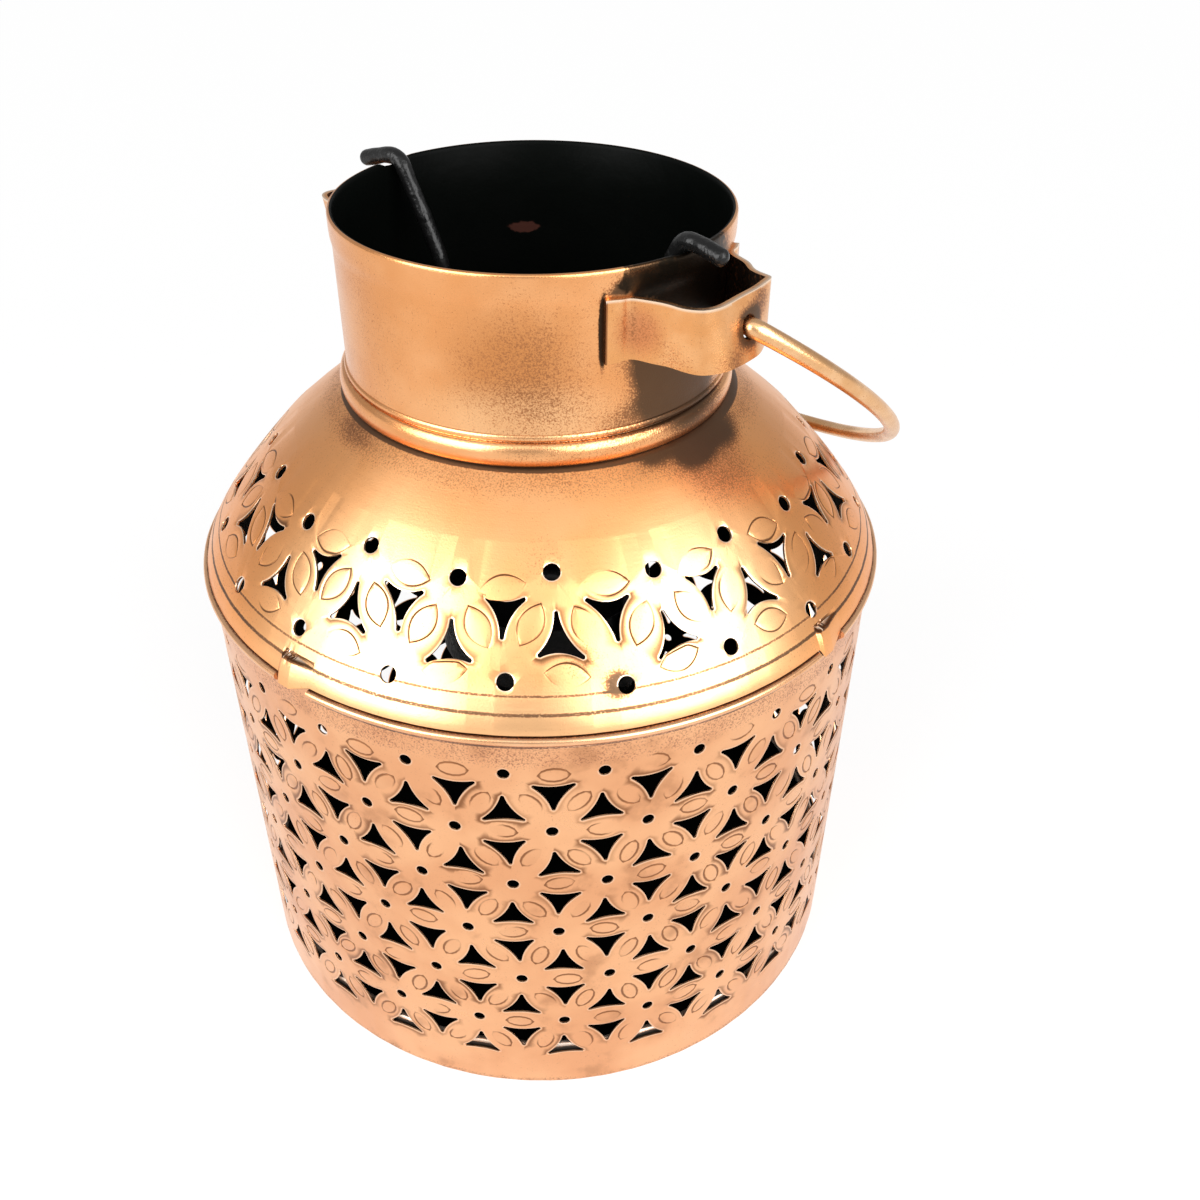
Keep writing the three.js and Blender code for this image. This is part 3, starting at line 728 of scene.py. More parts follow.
    def strips(self, sides: Sides, outer: Array, inner: Array, holes: Array, arcs: int) -> Patch:
        """Grids between the sides of tiles and the curves inside them.

        Beside a lens the rows are its axis, then just inside its line, on the line, just outside it, the
        start of the rolled edge and the edge. The line's height is the lens's half width by a power of 1
        less the square of the place along it. Elsewhere the rows run at fixed shares, the same ones for
        all columns at a corner where the inner curve is gathered into one point.

        Args:
            sides: The sides, with the strips on their left.
            outer: Curves on the sides, shaped (n, columns, 2).
            inner: Curves inside, shaped (n, columns, 2).
            holes: Flat radii of the eyelets at both nodes, shaped (n, 2).
            arcs: Steps of the arcs round the eyelets.

        Returns:
            The batch of grids.
        """
        scale = sides.scale[:, None]
        middle, axis = self.lens_frame(sides)
        left = np.stack([-axis[:, 1], axis[:, 0]], axis=-1)
        first = (outer.shape[1] - self.lens_steps - 3) // 2
        last = first + self.lens_steps + 2
        beside = slice(first, last + 1)
        span = inner - outer
        reach = np.maximum(np.linalg.norm(span, axis=-1) / scale, TINY)
        rolled = np.minimum(self.roll / reach, self.ROLL_SHARE)
        ends = np.linalg.norm(span[:, [0, -1]], axis=-1) * self.eyelet
        share = np.minimum(self.roll * holes / ends, self.ROLL_SHARE)
        rolled[:, [0, -1]] = np.where(holes > 0, share, self.END_ROLL)
        gathered = np.ptp(inner, axis=1).max(axis=-1) == 0
        rolled[gathered, :first] = rolled[gathered, :1]
        rolled[gathered, last + 1 :] = rolled[gathered, -1:]
        plain = [np.full_like(rolled, share) for share in self.PLAIN_ROWS]
        rows = np.stack([0 * rolled, rolled, *plain, 1 - rolled, 1 + 0 * rolled], axis=1)
        flat = outer[:, None] + span[:, None] * rows[..., None]

        bow = self.lens_width / 2 * np.clip(1 - self.lens_run() ** 2, 0.0, 1.0) ** self.lens_blunt
        wanted = bow + self.line_width * np.array([[-1.0], [0.0], [1.0]])
        room = np.sum(span[:, beside] * left[:, None], axis=-1) / scale
        room = room[:, None] * np.array(self.LINE_ROOM)[:, None]
        height = np.minimum(np.maximum(wanted, 0.0), room) * scale[..., None]
        flat[:, 1:4, beside] = outer[:, None, beside] + left[:, None, None] * height[..., None]
        way = inner[:, beside] - flat[:, 3, beside]
        length = np.maximum(np.linalg.norm(way, axis=-1) / scale, TINY)
        edge = np.minimum(self.roll / length, self.ROLL_LIMIT)
        flat[:, 4, beside] = inner[:, beside] - way * edge[..., None]

        groove_and_shade = np.zeros(flat.shape[:-1])
        held = self.pressed(flat[:, 2, beside] - middle[:, None], sides)
        held[:, [0, -1]] = 0.0
        tint = self.LENS_TINT * sides.draw(Draw.GRAIN) * sides.lens
        groove_and_shade[:, :2, first + 2 : last - 1] = tint[:, None, None]
        groove_and_shade[:, 2, beside] = held
        groove_and_shade[:, :2, first + 1] = held[:, 1:2]
        groove_and_shade[:, :2, last - 1] = held[:, -2:-1]
        rim = np.zeros(flat.shape[:-1])
        # eyelet edges are rolled down and painted with the highlight colour
        rim[:, 0] = self.eyelet_columns(holes, arcs)
        sunk = self.roll_depth * rim
        sunk[:, 2] += self.line_depth * groove_and_shade[:, 2]
        sunk[:, :2, [first + 1, last - 1]] += self.line_depth * groove_and_shade[:, :2, [first + 1, last - 1]]
        return Patch(flat, sunk, groove_and_shade, rim)

    def tiles(self, sheet: Sheet, sides: list[Sides], middle: Array, holes: Array, starred: bool) -> None:
        """Adds tiles to a sheet, each as one strip along every side.

        Args:
            sheet: Sheet that takes them.
            sides: First sides of all tiles, then their second sides and so on, anticlockwise.
            middle: Middles of the tiles, shaped (n, 2).
            holes: Flat radii of the eyelets at the nodes, shaped (n, sides).
            starred: Whether the tiles have a star, or are plain up to their middles.
        """
        mean_scale = np.mean([side.scale for side in sides], axis=0)
        for k, side in enumerate(sides):
            pair = holes[:, [k, (k + 1) % len(sides)]]
            start, end = unit(middle - side.a), unit(middle - side.b)
            outer = self.outer_curve(side, start, end, pair, self.arc_steps)
            inner = np.broadcast_to(middle[:, None], outer.shape)
            if starred:
                inner = self.star_side(side, middle, mean_scale)
            patch = self.strips(side, outer, inner, pair, self.arc_steps)
            if starred:
                # star edges are painted with the highlight colour
                patch.rim[:, -1] = 1.0
                patch.sunk[:, -1] += self.roll_depth
                # painted shade: a brown line along each star's edge, carried in the stamped-line mark
                patch.groove_and_shade[:, -2] = (self.EDGE_SHADE * side.draw(Draw.SHADE))[:, None]
            sheet.add(patch)

    def eyelet_columns(self, pair: Array, arcs: int) -> Array:
        """Marks the columns that lie on the edge of an eyelet, shaped (n, columns)."""
        columns = self.columns(arcs)
        index = np.arange(columns)
        near = (index <= arcs) & (pair[:, :1] > 0)
        far = (index >= columns - 1 - arcs) & (pair[:, 1:] > 0)
        return (near | far).astype(float)

    def border(
        self, sheet: Sheet, sides: Sides, holes: Array, level: float, arcs: int, bare: bool
    ) -> Array:
        """Adds the plain strips between a row of nodes and a level line.

        Args:
            sheet: Sheet that takes them.
            sides: Sides along the row, with the strips on their left.
            holes: Flat radii of the eyelets at both nodes, shaped (n, 2).
            level: The line's w.
            arcs: Steps of the quarter circles round the eyelets.
            bare: Whether the strips are straight and have no marks, and need no rows between.

        Returns:
            Azimuths of the line's corners in order round the sheet.
        """
        away = np.zeros_like(sides.a)
        away[:, 1] = np.sign(level - sides.a[:, 1])
        outer = self.outer_curve(sides, away, away, holes, arcs)
        inner = self.plain_side(sides, level, arcs)
        patch = self.strips(sides, outer, inner, holes, arcs)
        sheet.add(patch.edges() if bare else patch)
        return np.sort(inner[:, :-1, 0].reshape(-1))


def ring_patch(azimuth: Array, levels: Array) -> Patch:
    """A plain band round a sheet.

    Args:
        azimuth: Azimuths of its columns in order, the last short of a full turn after the first.
        levels: The w of its rows, rising.

    Returns:
        The band as one grid.
    """
    closed = np.concatenate([azimuth, azimuth[:1] + FULL_TURN])
    flat = np.stack(np.broadcast_arrays(closed[None, :], levels[:, None]), axis=-1)
    return Patch.plain(flat[None])


class Link:
    """A shader socket that takes part in sums: an expression on it adds Math nodes."""

    def __init__(self, graph: "Graph", socket: bpy.types.NodeSocket) -> None:
        """Holds a socket of a graph."""
        self.graph = graph
        self.socket = socket

    def _math(self, operation: str, first: "Link | float", second: "Link | float") -> "Link":
        """One Math node on two values."""
        return self.graph.link("ShaderNodeMath", {"operation": operation}, {0: first, 1: second})

    def __add__(self, other: "Link | float") -> "Link":
        """Sum."""
        return self._math("ADD", self, other)

    __radd__ = __add__

    def __mul__(self, other: "Link | float") -> "Link":
        """Product."""
        return self._math("MULTIPLY", self, other)

    __rmul__ = __mul__

    def __sub__(self, other: "Link | float") -> "Link":
        """Difference."""
        return self._math("SUBTRACT", self, other)

    def __rsub__(self, other: "Link | float") -> "Link":
        """Difference from a value on the left."""
        return self._math("SUBTRACT", other, self)

    def most(self, other: "Link | float") -> "Link":
        """The larger of two values."""
        return self._math("MAXIMUM", self, other)


class Graph:
    """A node tree with one method that adds any node, and short forms of the common ones."""

    NOISE_ROUGHNESS = 0.55

    def __init__(self, tree: bpy.types.NodeTree) -> None:
        """Empties a tree."""
        self.tree = tree
        self.tree.nodes.clear()

    def node(self, kind: str, settings: dict, sockets: dict) -> bpy.types.Node:
        """Adds a node.

        Args:
            kind: Type of the node.
            settings: Values of its own properties, which are set first.
            sockets: Values or links of its inputs, by name, identifier or number.

        Returns:
            The node.
        """
        made = self.tree.nodes.new(kind)
        for name, value in settings.items():
            setattr(made, name, value)
        for key, value in sockets.items():
            target = self._socket(made.inputs, key)
            if isinstance(value, Link):
                self.tree.links.new(value.socket, target)
            elif isinstance(value, tuple) and len(value) == 3 and target.type == "RGBA":
                target.default_value = (*value, 1.0)
            else:
                target.default_value = value
        return made

    @staticmethod
    def _socket(sockets, key) -> bpy.types.NodeSocket:
        """A socket by number, identifier or name."""
        if isinstance(key, int):
            return sockets[key]
        exact = [socket for socket in sockets if socket.identifier == key]
        return exact[0] if exact else sockets[key]

    def link(self, kind: str, settings: dict, sockets: dict, output=0) -> Link:
        """Adds a node and gives one of its outputs."""
        return Link(self, self._socket(self.node(kind, settings, sockets).outputs, output))

    def mix(self, share: Link | float, first: Link | Colour, second: Link | Colour) -> Link:
        """A colour mixed from the first to the second."""
        sockets = {"Factor_Float": share, "A_Color": first, "B_Color": second}
        settings = {"data_type": "RGBA", "clamp_factor": True}
        return self.link("ShaderNodeMix", settings, sockets, "Result_Color")

    def ease(self, value: Link, low: float, high: float) -> Link:
        """A value eased from 0 at low to 1 at high."""
        sockets = {"Value": value, "From Min": low, "From Max": high, "To Min": 0.0, "To Max": 1.0}
        return self.link("ShaderNodeMapRange", {"interpolation_type": "SMOOTHSTEP"}, sockets)

    def noise(self, vector: Link, size: float, detail: float) -> Link:
        """Cloudy noise whose clouds are about a size across."""
        sockets = {"Vector": vector, "Scale": 1.0 / size, "Detail": detail}
        sockets["Roughness"] = self.NOISE_ROUGHNESS
        return self.link("ShaderNodeTexNoise", {}, sockets)

    def bump(self, height: Link, strength: float, distance: float) -> Link:
        """A normal bent by a height."""
        sockets = {"Height": height, "Strength": strength, "Distance": distance}
        return self.link("ShaderNodeBump", {}, sockets, "Normal")

    def principled(self, sockets: dict) -> None:
        """Ends a material in one surface."""
        surface = self.link("ShaderNodeBsdfPrincipled", {}, sockets, "BSDF")
        self.node("ShaderNodeOutputMaterial", {}, {"Surface": surface})

    def mark(self, name: str) -> Link:
        """A mark that the mesh carries."""
        return self.link("ShaderNodeAttribute", {"attribute_name": name}, {}, "Fac")

    def place(self) -> Link:
        """The point in the lantern's own frame."""
        return self.link("ShaderNodeTexCoord", {}, {}, "Object")

    def stretched(self, vector: Link, scale: Place) -> Link:
        """A point with its three coordinates stretched."""
        return self.link("ShaderNodeVectorMath", {"operation": "MULTIPLY"}, {0: vector, 1: scale})

    def away_from(self, vector: Link, centre: Place) -> Link:
        """Distance from a point."""
        return self.link("ShaderNodeVectorMath", {"operation": "DISTANCE"}, {0: vector, 1: centre}, "Value")


def new_material(name: str) -> tuple[bpy.types.Material, Graph]:
    """A new material and its empty graph."""
    made = bpy.data.materials.new(name)
    made.use_nodes = True
    return made, Graph(made.node_tree)


class Measure(Enum):
    """What a dirty band is measured by."""

    HEIGHT = "height"
    RADIUS = "radius"


@dataclass(frozen=True)
class Band:
    """A dirty band round the lantern between two heights or two radii, which fades over soft.

    Lengths are in millimetres.
    """

    low: float
    high: float
    soft: float
    dirt_and_shade: float
    measure: Measure = Measure.HEIGHT

    def cover(self, graph: Graph, height: Link, radius: Link) -> Link:
        """The band's dirt at each point."""
        along = height if self.measure is Measure.HEIGHT else radius
        low, high, soft = self.low * MM, self.high * MM, self.soft * MM
        inside = graph.ease(along, low - soft, low)
        return self.dirt_and_shade * inside * (1 - graph.ease(along, high, high + soft))


@dataclass(frozen=True)
class StainAndPaintedLight:
    """A patch round a place, squat in height, which adds dirt and may tint the metal: some are real stains,
    and others are painted shade and painted highlights.

    The azimuth is in degrees and lengths are in millimetres.
    """

    azimuth: float
    radius: float
    height: float
    reach: float
    dirt_and_shade: float
    squat: float = 1.0
    tint: Colour = (0.5, 0.2, 0.1)
    tint_share: float = 0.0

    CORE = 0.2
    RAG_GAIN = 1.2
    RAG_SIZE = 1.4 * MM
    RAG_EDGE = (0.3, 0.6)

    def spread(self, graph: Graph, at: Link) -> Link:
        """How near each point is: 1 close to the patch's middle, falling to 0 at its reach."""
        radius, height = np.array(self.radius * MM), np.array(self.height * MM * self.squat)
        middle = tuple(float(v) for v in polar(radius, np.radians(self.azimuth), height))
        away = graph.away_from(graph.stretched(at, (1.0, 1.0, self.squat)), middle)
        reach = self.reach * MM
        return 1 - graph.ease(away, self.CORE * reach, reach)

    def ragged(self, graph: Graph, at: Link) -> Link:
        """The patch with a torn edge: 1 where the spread, roughened by noise, is more than about a half."""
        torn = self.spread(graph, at) + self.RAG_GAIN * (graph.noise(at, self.RAG_SIZE, 3.0) - 0.5)
        return graph.ease(torn, *self.RAG_EDGE)


@dataclass(frozen=True)
class SheetMetal:
    """A worked metal surface with an aged look.

    Two tones lie in clouds. Dirt is a density from 0 to 1, summed over the bands and the patches, and shows
    as fine specks that grow together where it is dense; some patches add painted shade to it, and others tint
    the metal as painted highlights and painted shade. Stamped lines and painted shade along edges are dark,
    and cut edges are painted a highlight colour.
    """

    name: str
    light: Colour
    deep: Colour
    tone_size: float
    rough: float
    dirt_and_shade: float
    crowd: float = 0.35
    speck: float = 0.28 * MM
    spun: float = 0.0
    grain_depth: float = 0.10
    fresh_dirt: Colour = (0.42, 0.165, 0.065)
    old_dirt_and_shade: Colour = (0.065, 0.04, 0.026)
    # colour of stamped lines and of painted shade
    line: Colour = (0.20, 0.075, 0.028)
    # painted highlight colour along cut edges
    edge: Colour = (0.98, 0.80, 0.62)
    smudge: float = 0.0
    marked: bool = False
    bands: tuple[Band, ...] = ()
    stains_and_painted_light: tuple[StainAndPaintedLight, ...] = ()
    spots: tuple[StainAndPaintedLight, ...] = ()

    CROWD_SIZE = 9 * MM
    SMUDGE_SIZE = 8 * MM
    RING_SIZE = 0.3 * MM
    RING_STRETCH = (0.04, 0.04, 1.0)
    CLOUD_EDGE = (0.35, 0.65)
    RING_EDGE = (0.5, 0.8)
    SPECK_EDGE = (0.72, 1.04)
    AGE_EDGE = (0.3, 0.85)
    SMUDGE_EDGE = (0.55, 0.72)
    GROOVE_AND_SHADE_EDGE = (0.1, 0.7)
    RIM_EDGE = (0.3, 0.9)
    SPECK_GAIN = 0.8
    SPECK_COVER = 0.92
    LINE_COVER = 0.9
    RIM_COVER = 0.75
    CLOUD_ROUGH = 0.1
    SPECK_ROUGH = 0.12
    LINE_ROUGH = 0.12
    RING_RELIEF = 0.5
    RELIEF = 0.15 * MM

    def material(self) -> bpy.types.Material:
        """Builds the finish.

        Returns:
            The material.
        """
        made, graph = new_material(self.name)
        at = graph.place()
        height = graph.link("ShaderNodeSeparateXYZ", {}, {"Vector": at}, "Z")
        radius = graph.away_from(graph.stretched(at, (1.0, 1.0, 0.0)), (0.0, 0.0, 0.0))
        clouds = graph.noise(at, self.tone_size, 3.0)
        rings = graph.noise(graph.stretched(at, self.RING_STRETCH), self.RING_SIZE, 2.0)
        fine = graph.noise(at, self.speck, 2.0)

        colour = graph.mix(graph.ease(clouds, *self.CLOUD_EDGE), self.light, self.deep)
        colour = graph.mix(self.spun * graph.ease(rings, *self.RING_EDGE), colour, self.deep)
        dirt_and_shade = self.dirt_and_shade + self.crowd * (graph.noise(at, self.CROWD_SIZE, 3.0) - 0.5)
        for band in self.bands:
            dirt_and_shade = dirt_and_shade + band.cover(graph, height, radius)
        # Patches add dirt and may tint the metal. Some are real stains; others are painted shade, such as
        # under and behind the right ear, and painted highlights.
        for stain_and_light in self.stains_and_painted_light:
            spread = stain_and_light.spread(graph, at)
            dirt_and_shade = dirt_and_shade + stain_and_light.dirt_and_shade * spread
            if stain_and_light.tint_share > 0:
                colour = graph.mix(stain_and_light.tint_share * spread, colour, stain_and_light.tint)
        specks = graph.ease(fine + self.SPECK_GAIN * dirt_and_shade, *self.SPECK_EDGE)
        # colour of the dirt, which is also the colour of painted shade where that is dense
        dirt_and_shade_colour = graph.mix(graph.ease(dirt_and_shade, *self.AGE_EDGE), self.fresh_dirt, self.old_dirt_and_shade)
        colour = graph.mix(self.SPECK_COVER * specks, colour, dirt_and_shade_colour)
        if self.smudge > 0:
            smeared = graph.ease(graph.noise(at, self.SMUDGE_SIZE, 4.0), *self.SMUDGE_EDGE)
            colour = graph.mix(self.smudge * smeared, colour, self.line)
        # Spots go on top; those behind the right ear are partly painted shade.
        for spot in self.spots:
            colour = graph.mix(spot.tint_share * spot.ragged(graph, at), colour, spot.tint)
        rough = self.rough + self.CLOUD_ROUGH * (clouds - 0.5) + self.spun * (rings - 0.5)
        rough = rough + self.SPECK_ROUGH * specks
        if self.marked:
            groove_and_shade = graph.mark("groove_and_shade")
            rim = graph.mark("rim")
            # stamped lines take the line colour, and so does painted shade along star edges, in the slits and
            # under the shoulder's foot
            colour = graph.mix(self.LINE_COVER * graph.ease(groove_and_shade, *self.GROOVE_AND_SHADE_EDGE), colour, self.line)
            # painted highlight on the cut edges of holes and on the ear's upper edge; the slits' bright
            # grains take the same colour
            colour = graph.mix(self.RIM_COVER * graph.ease(rim, *self.RIM_EDGE), colour, self.edge)
            rough = rough + self.LINE_ROUGH * groove_and_shade

        normal = graph.bump(fine + self.RING_RELIEF * rings, self.grain_depth, self.RELIEF)
        graph.principled({"Base Color": colour, "Roughness": rough, "Metallic": 1.0, "Normal": normal})
        return made


@dataclass(frozen=True)
class BlackPaint:
    """Black paint, glossy where it ran and dull where it is thin, with a lumpy face and bare spots."""

    name: str
    colour: Colour
    bare: Colour
    bare_share: float
    rough: float
    gloss: float
    lump_size: float
    lump_depth: float
    spots: tuple[StainAndPaintedLight, ...] = ()

    CLOUD_SIZE = 6 * MM
    WORN_SIZE = 7 * MM
    WORN_EDGE = (0.80, 0.86)
    WORN_COVER = 0.8
    CLOUD_ROUGH = 0.2
    CLOUD_MIDDLE = 0.4
    RELIEF = 0.4 * MM

    def material(self) -> bpy.types.Material:
        """Builds the finish.

        Returns:
            The material.
        """
        made, graph = new_material(self.name)
        at = graph.place()
        clouds = graph.noise(at, self.CLOUD_SIZE, 3.0)
        low, high = (limit - self.bare_share for limit in self.WORN_EDGE)
        worn = graph.ease(graph.noise(at, self.WORN_SIZE, 4.0), low, high)
        colour = graph.mix(self.WORN_COVER * worn, self.colour, self.bare)
        for spot in self.spots:
            colour = graph.mix(spot.tint_share * spot.ragged(graph, at), colour, spot.tint)
        lumps = graph.noise(at, self.lump_size, 2.0)
        normal = graph.bump(lumps, self.lump_depth, self.RELIEF)
        rough = self.rough + self.CLOUD_ROUGH * (clouds - self.CLOUD_MIDDLE)
        shader = {"Base Color": colour, "Roughness": rough, "Normal": normal}
        shader["Specular IOR Level"] = self.gloss
        graph.principled(shader)
        return made


class Finishes:
    """All finishes of the lantern."""

    COPPER = (0.90, 0.482, 0.252)
    ROSE = (0.80, 0.39, 0.195)
    GOLD = (0.93, 0.465, 0.20)
    AMBER = (0.88, 0.41, 0.155)
    # colour of painted highlights: paler metal where bright reflections fall
    PAINTED_HIGHLIGHT = (0.99, 0.64, 0.34)
    PLUM = (0.38, 0.16, 0.095)
    RUST = (0.60, 0.19, 0.08)
    TAN = (0.64, 0.26, 0.085)
    # colour of the painted shade on the shoulder's flanks
    PAINTED_FLANK_SHADE = (0.92, 0.38, 0.125)
    # near-black for soot and for painted shade behind the right ear
    SOOT_AND_SHADE = (0.016, 0.012, 0.008)
    UMBER = (0.05, 0.018, 0.013)

    def __init__(self) -> None:
        """Builds every finish once."""
        self.drum = SheetMetal(
            name="copper_drum_sheet",
            light=self.COPPER,
            deep=self.ROSE,
            tone_size=16 * MM,
            rough=0.29,
            dirt_and_shade=0.13,
            speck=0.30 * MM,
            fresh_dirt=self.PLUM,
            line=(0.24, 0.095, 0.038),
            # painted highlight colour for the holes' edges
            edge=(0.92, 0.62, 0.42),
            smudge=0.3,
            marked=True,
            bands=(
                Band(83.4, 86.0, 2.2, 0.24),
                Band(-1, 0.3, 1.2, 0.25),
            ),
        ).material()
        self.lip = SheetMetal(
            name="copper_lip_edge",
            light=(0.90, 0.52, 0.29),
            deep=(0.84, 0.44, 0.22),
            tone_size=9 * MM,
            rough=0.24,
            dirt_and_shade=0.14,
            crowd=0.55,
            speck=0.30 * MM,
            spun=0.1,
            fresh_dirt=self.PLUM,
            bands=(Band(60.0, 61.45, 0.3, 0.5, Measure.RADIUS),),
        ).material()
        self.shoulder = SheetMetal(
            name="gold_shoulder_sheet",
            light=self.GOLD,
            deep=self.AMBER,
            tone_size=18 * MM,
            rough=0.32,
            dirt_and_shade=0.16,
            crowd=0.3,
            spun=0.08,
            old_dirt_and_shade=(0.05, 0.032, 0.022),
            line=(0.10, 0.04, 0.016),
            marked=True,
            bands=(
                Band(94.24, 94.40, 0.16, 0.5),
                Band(91.85, 92.10, 0.25, 0.58),
                Band(33.0, 34.2, 0.25, 0.5, Measure.RADIUS),
                Band(117.0, 120.0, 2.8, 0.24),
            ),
            stains_and_painted_light=(
                StainAndPaintedLight(43, 34.2, 118.5, 7, 0.55, 1.5),
                StainAndPaintedLight(57, 34.5, 118.3, 7, 0.35, 1.5),
                StainAndPaintedLight(30, 34.2, 118.5, 4.5, 0.45, 1.8),
                StainAndPaintedLight(46, 38, 115, 12, 0.3, 1.0, self.RUST, 0.6),
                StainAndPaintedLight(-58, 35, 118, 8, 0.17, 2.5, self.RUST, 0.3),
                StainAndPaintedLight(10.5, 57.7, 95, 3.4, 0.75),
                StainAndPaintedLight(5, 55.5, 98.5, 5, 0.22),
                # painted shade: the shoulder's two flanks are tinted redder and darker
                StainAndPaintedLight(-66, 56, 100, 36, 0.05, 1.0, self.PAINTED_FLANK_SHADE, 0.9),
                StainAndPaintedLight(66, 56, 100, 36, 0.05, 1.0, self.PAINTED_FLANK_SHADE, 0.9),
                StainAndPaintedLight(0, 45.5, 109.8, 6, 0.16),
                # painted highlights: the foot's low front and the two places where the windows are seen are
                # tinted paler
                StainAndPaintedLight(-8, 61, 91, 42, 0.0, 6.0, self.PAINTED_HIGHLIGHT, 0.5),
                StainAndPaintedLight(-36, 54, 101, 24, 0.0, 1.0, self.PAINTED_HIGHLIGHT, 0.65),
                StainAndPaintedLight(30, 54, 101, 24, 0.0, 1.0, self.PAINTED_HIGHLIGHT, 0.65),
            ),
        ).material()
        self.neck = SheetMetal(
            name="gold_neck_sheet",
            light=(0.90, 0.445, 0.195),
            deep=(0.80, 0.35, 0.13),
            tone_size=16 * MM,
            rough=0.24,
            dirt_and_shade=0.17,
            spun=0.06,
            grain_depth=0.16,
            old_dirt_and_shade=(0.05, 0.033, 0.022),
            bands=(
                Band(122.8, 122.95, 0.12, 0.2),
                Band(117.0, 119.0, 0.35, 1.0),
            ),
            stains_and_painted_light=(
                StainAndPaintedLight(10, 33, 130, 24, 0.12),
                StainAndPaintedLight(-8, 33, 134, 15, 0.18, 1.0, self.TAN, 0.95),
                # painted shade: the neck's left side is tinted darker
                StainAndPaintedLight(-66, 33, 136, 24, 0.10, 1.0, self.TAN, 0.4),
                # partly painted shade: the neck is darker under and behind the right ear, standing for the
                # ear's shadow and dark reflection as well as burn marks
                StainAndPaintedLight(40, 33, 130, 12, 0.6),
                StainAndPaintedLight(46, 33, 139, 18, 1.4),
                StainAndPaintedLight(50, 33, 123.5, 13, 0.5, 1.5),
                # painted reflection: the neck's low front is tinted paler where it mirrors the shoulder's
                # highlights
                StainAndPaintedLight(-6, 33, 126, 24, 0.0, 3.0, self.PAINTED_HIGHLIGHT, 0.45),
                StainAndPaintedLight(26, 33, 124.5, 8, 0.32, 1.5),
                StainAndPaintedLight(24, 33, 144.5, 6, 0.9, 1.3),
                StainAndPaintedLight(16.0, 32.9, 139.8, 0.85, 1.2, 0.11),
            ),
            spots=(
                # partly painted shade: near-black behind the right ear, where the neck lies in the ear's
                # shade, with some soot
                StainAndPaintedLight(46, 33, 143, 15, 0.0, 1.0, self.SOOT_AND_SHADE, 0.9),
                StainAndPaintedLight(29, 33, 147, 8, 0.0, 1.5, self.SOOT_AND_SHADE, 0.93),
                StainAndPaintedLight(16.0, 32.9, 139.8, 1.0, 0.0, 0.11, self.SOOT_AND_SHADE, 0.8),
            ),
        ).material()
        self.ear = SheetMetal(
            name="gold_ear_strap",
            light=(0.87, 0.45, 0.195),
            deep=(0.77, 0.355, 0.13),
            tone_size=7 * MM,
            rough=0.24,
            dirt_and_shade=0.2,
            grain_depth=0.16,
            marked=True,
            stains_and_painted_light=(
                StainAndPaintedLight(25.5, 33.8, 139.8, 5.5, 0.25, 1.0, self.RUST, 0.65),
                StainAndPaintedLight(45, 43, 139.85, 4.6, 1.0),
                StainAndPaintedLight(31, 38, 136, 5, 0.2),
                StainAndPaintedLight(39, 43, 135.6, 4, 0.35, 1.0, self.TAN, 0.8),
                StainAndPaintedLight(50, 43, 142.5, 4, 0.4, 1.0, self.TAN, 0.8),
            ),
        ).material()
        self.ear_back = SheetMetal(
            name="burnt_ear_back",
            light=(0.085, 0.06, 0.045),
            deep=(0.04, 0.03, 0.022),
            tone_size=5 * MM,
            rough=0.42,
            dirt_and_shade=0.3,
            crowd=0.3,
            speck=0.45 * MM,
            grain_depth=0.2,
        ).material()
        self.wire = SheetMetal(
            name="gold_bail_wire",
            light=(0.88, 0.54, 0.29),
            deep=(0.76, 0.42, 0.19),
            tone_size=6 * MM,
            rough=0.27,
            dirt_and_shade=0.2,
            crowd=0.2,
            speck=0.4 * MM,
            grain_depth=0.2,
        ).material()
        self.base = SheetMetal(
            name="tinned_base_pan",
            light=(0.66, 0.56, 0.48),
            deep=(0.52, 0.38, 0.29),
            tone_size=14 * MM,
            rough=0.38,
            dirt_and_shade=0.2,
            crowd=0.4,
            speck=0.6 * MM,
            spun=0.12,
            grain_depth=0.15,
        ).material()
        self.inside = BlackPaint(
            name="black_inside_paint",
            colour=(0.001, 0.0014, 0.0011),
            bare=(0.10, 0.045, 0.03),
            bare_share=0.0,
            rough=0.40,
            gloss=0.04,
            lump_size=2.5 * MM,
            lump_depth=0.15,
            spots=(StainAndPaintedLight(-175.6, 32.3, 133.3, 4.4, 0.0, 2.6, self.UMBER, 0.85),),
        ).material()
        self.hanger = BlackPaint(
            name="black_hanger_paint",
            colour=(0.005, 0.005, 0.005),
            bare=(0.06, 0.05, 0.045),
            bare_share=0.06,
            rough=0.27,
            gloss=0.28,
            lump_size=1.5 * MM,
            lump_depth=0.6,
        ).material()


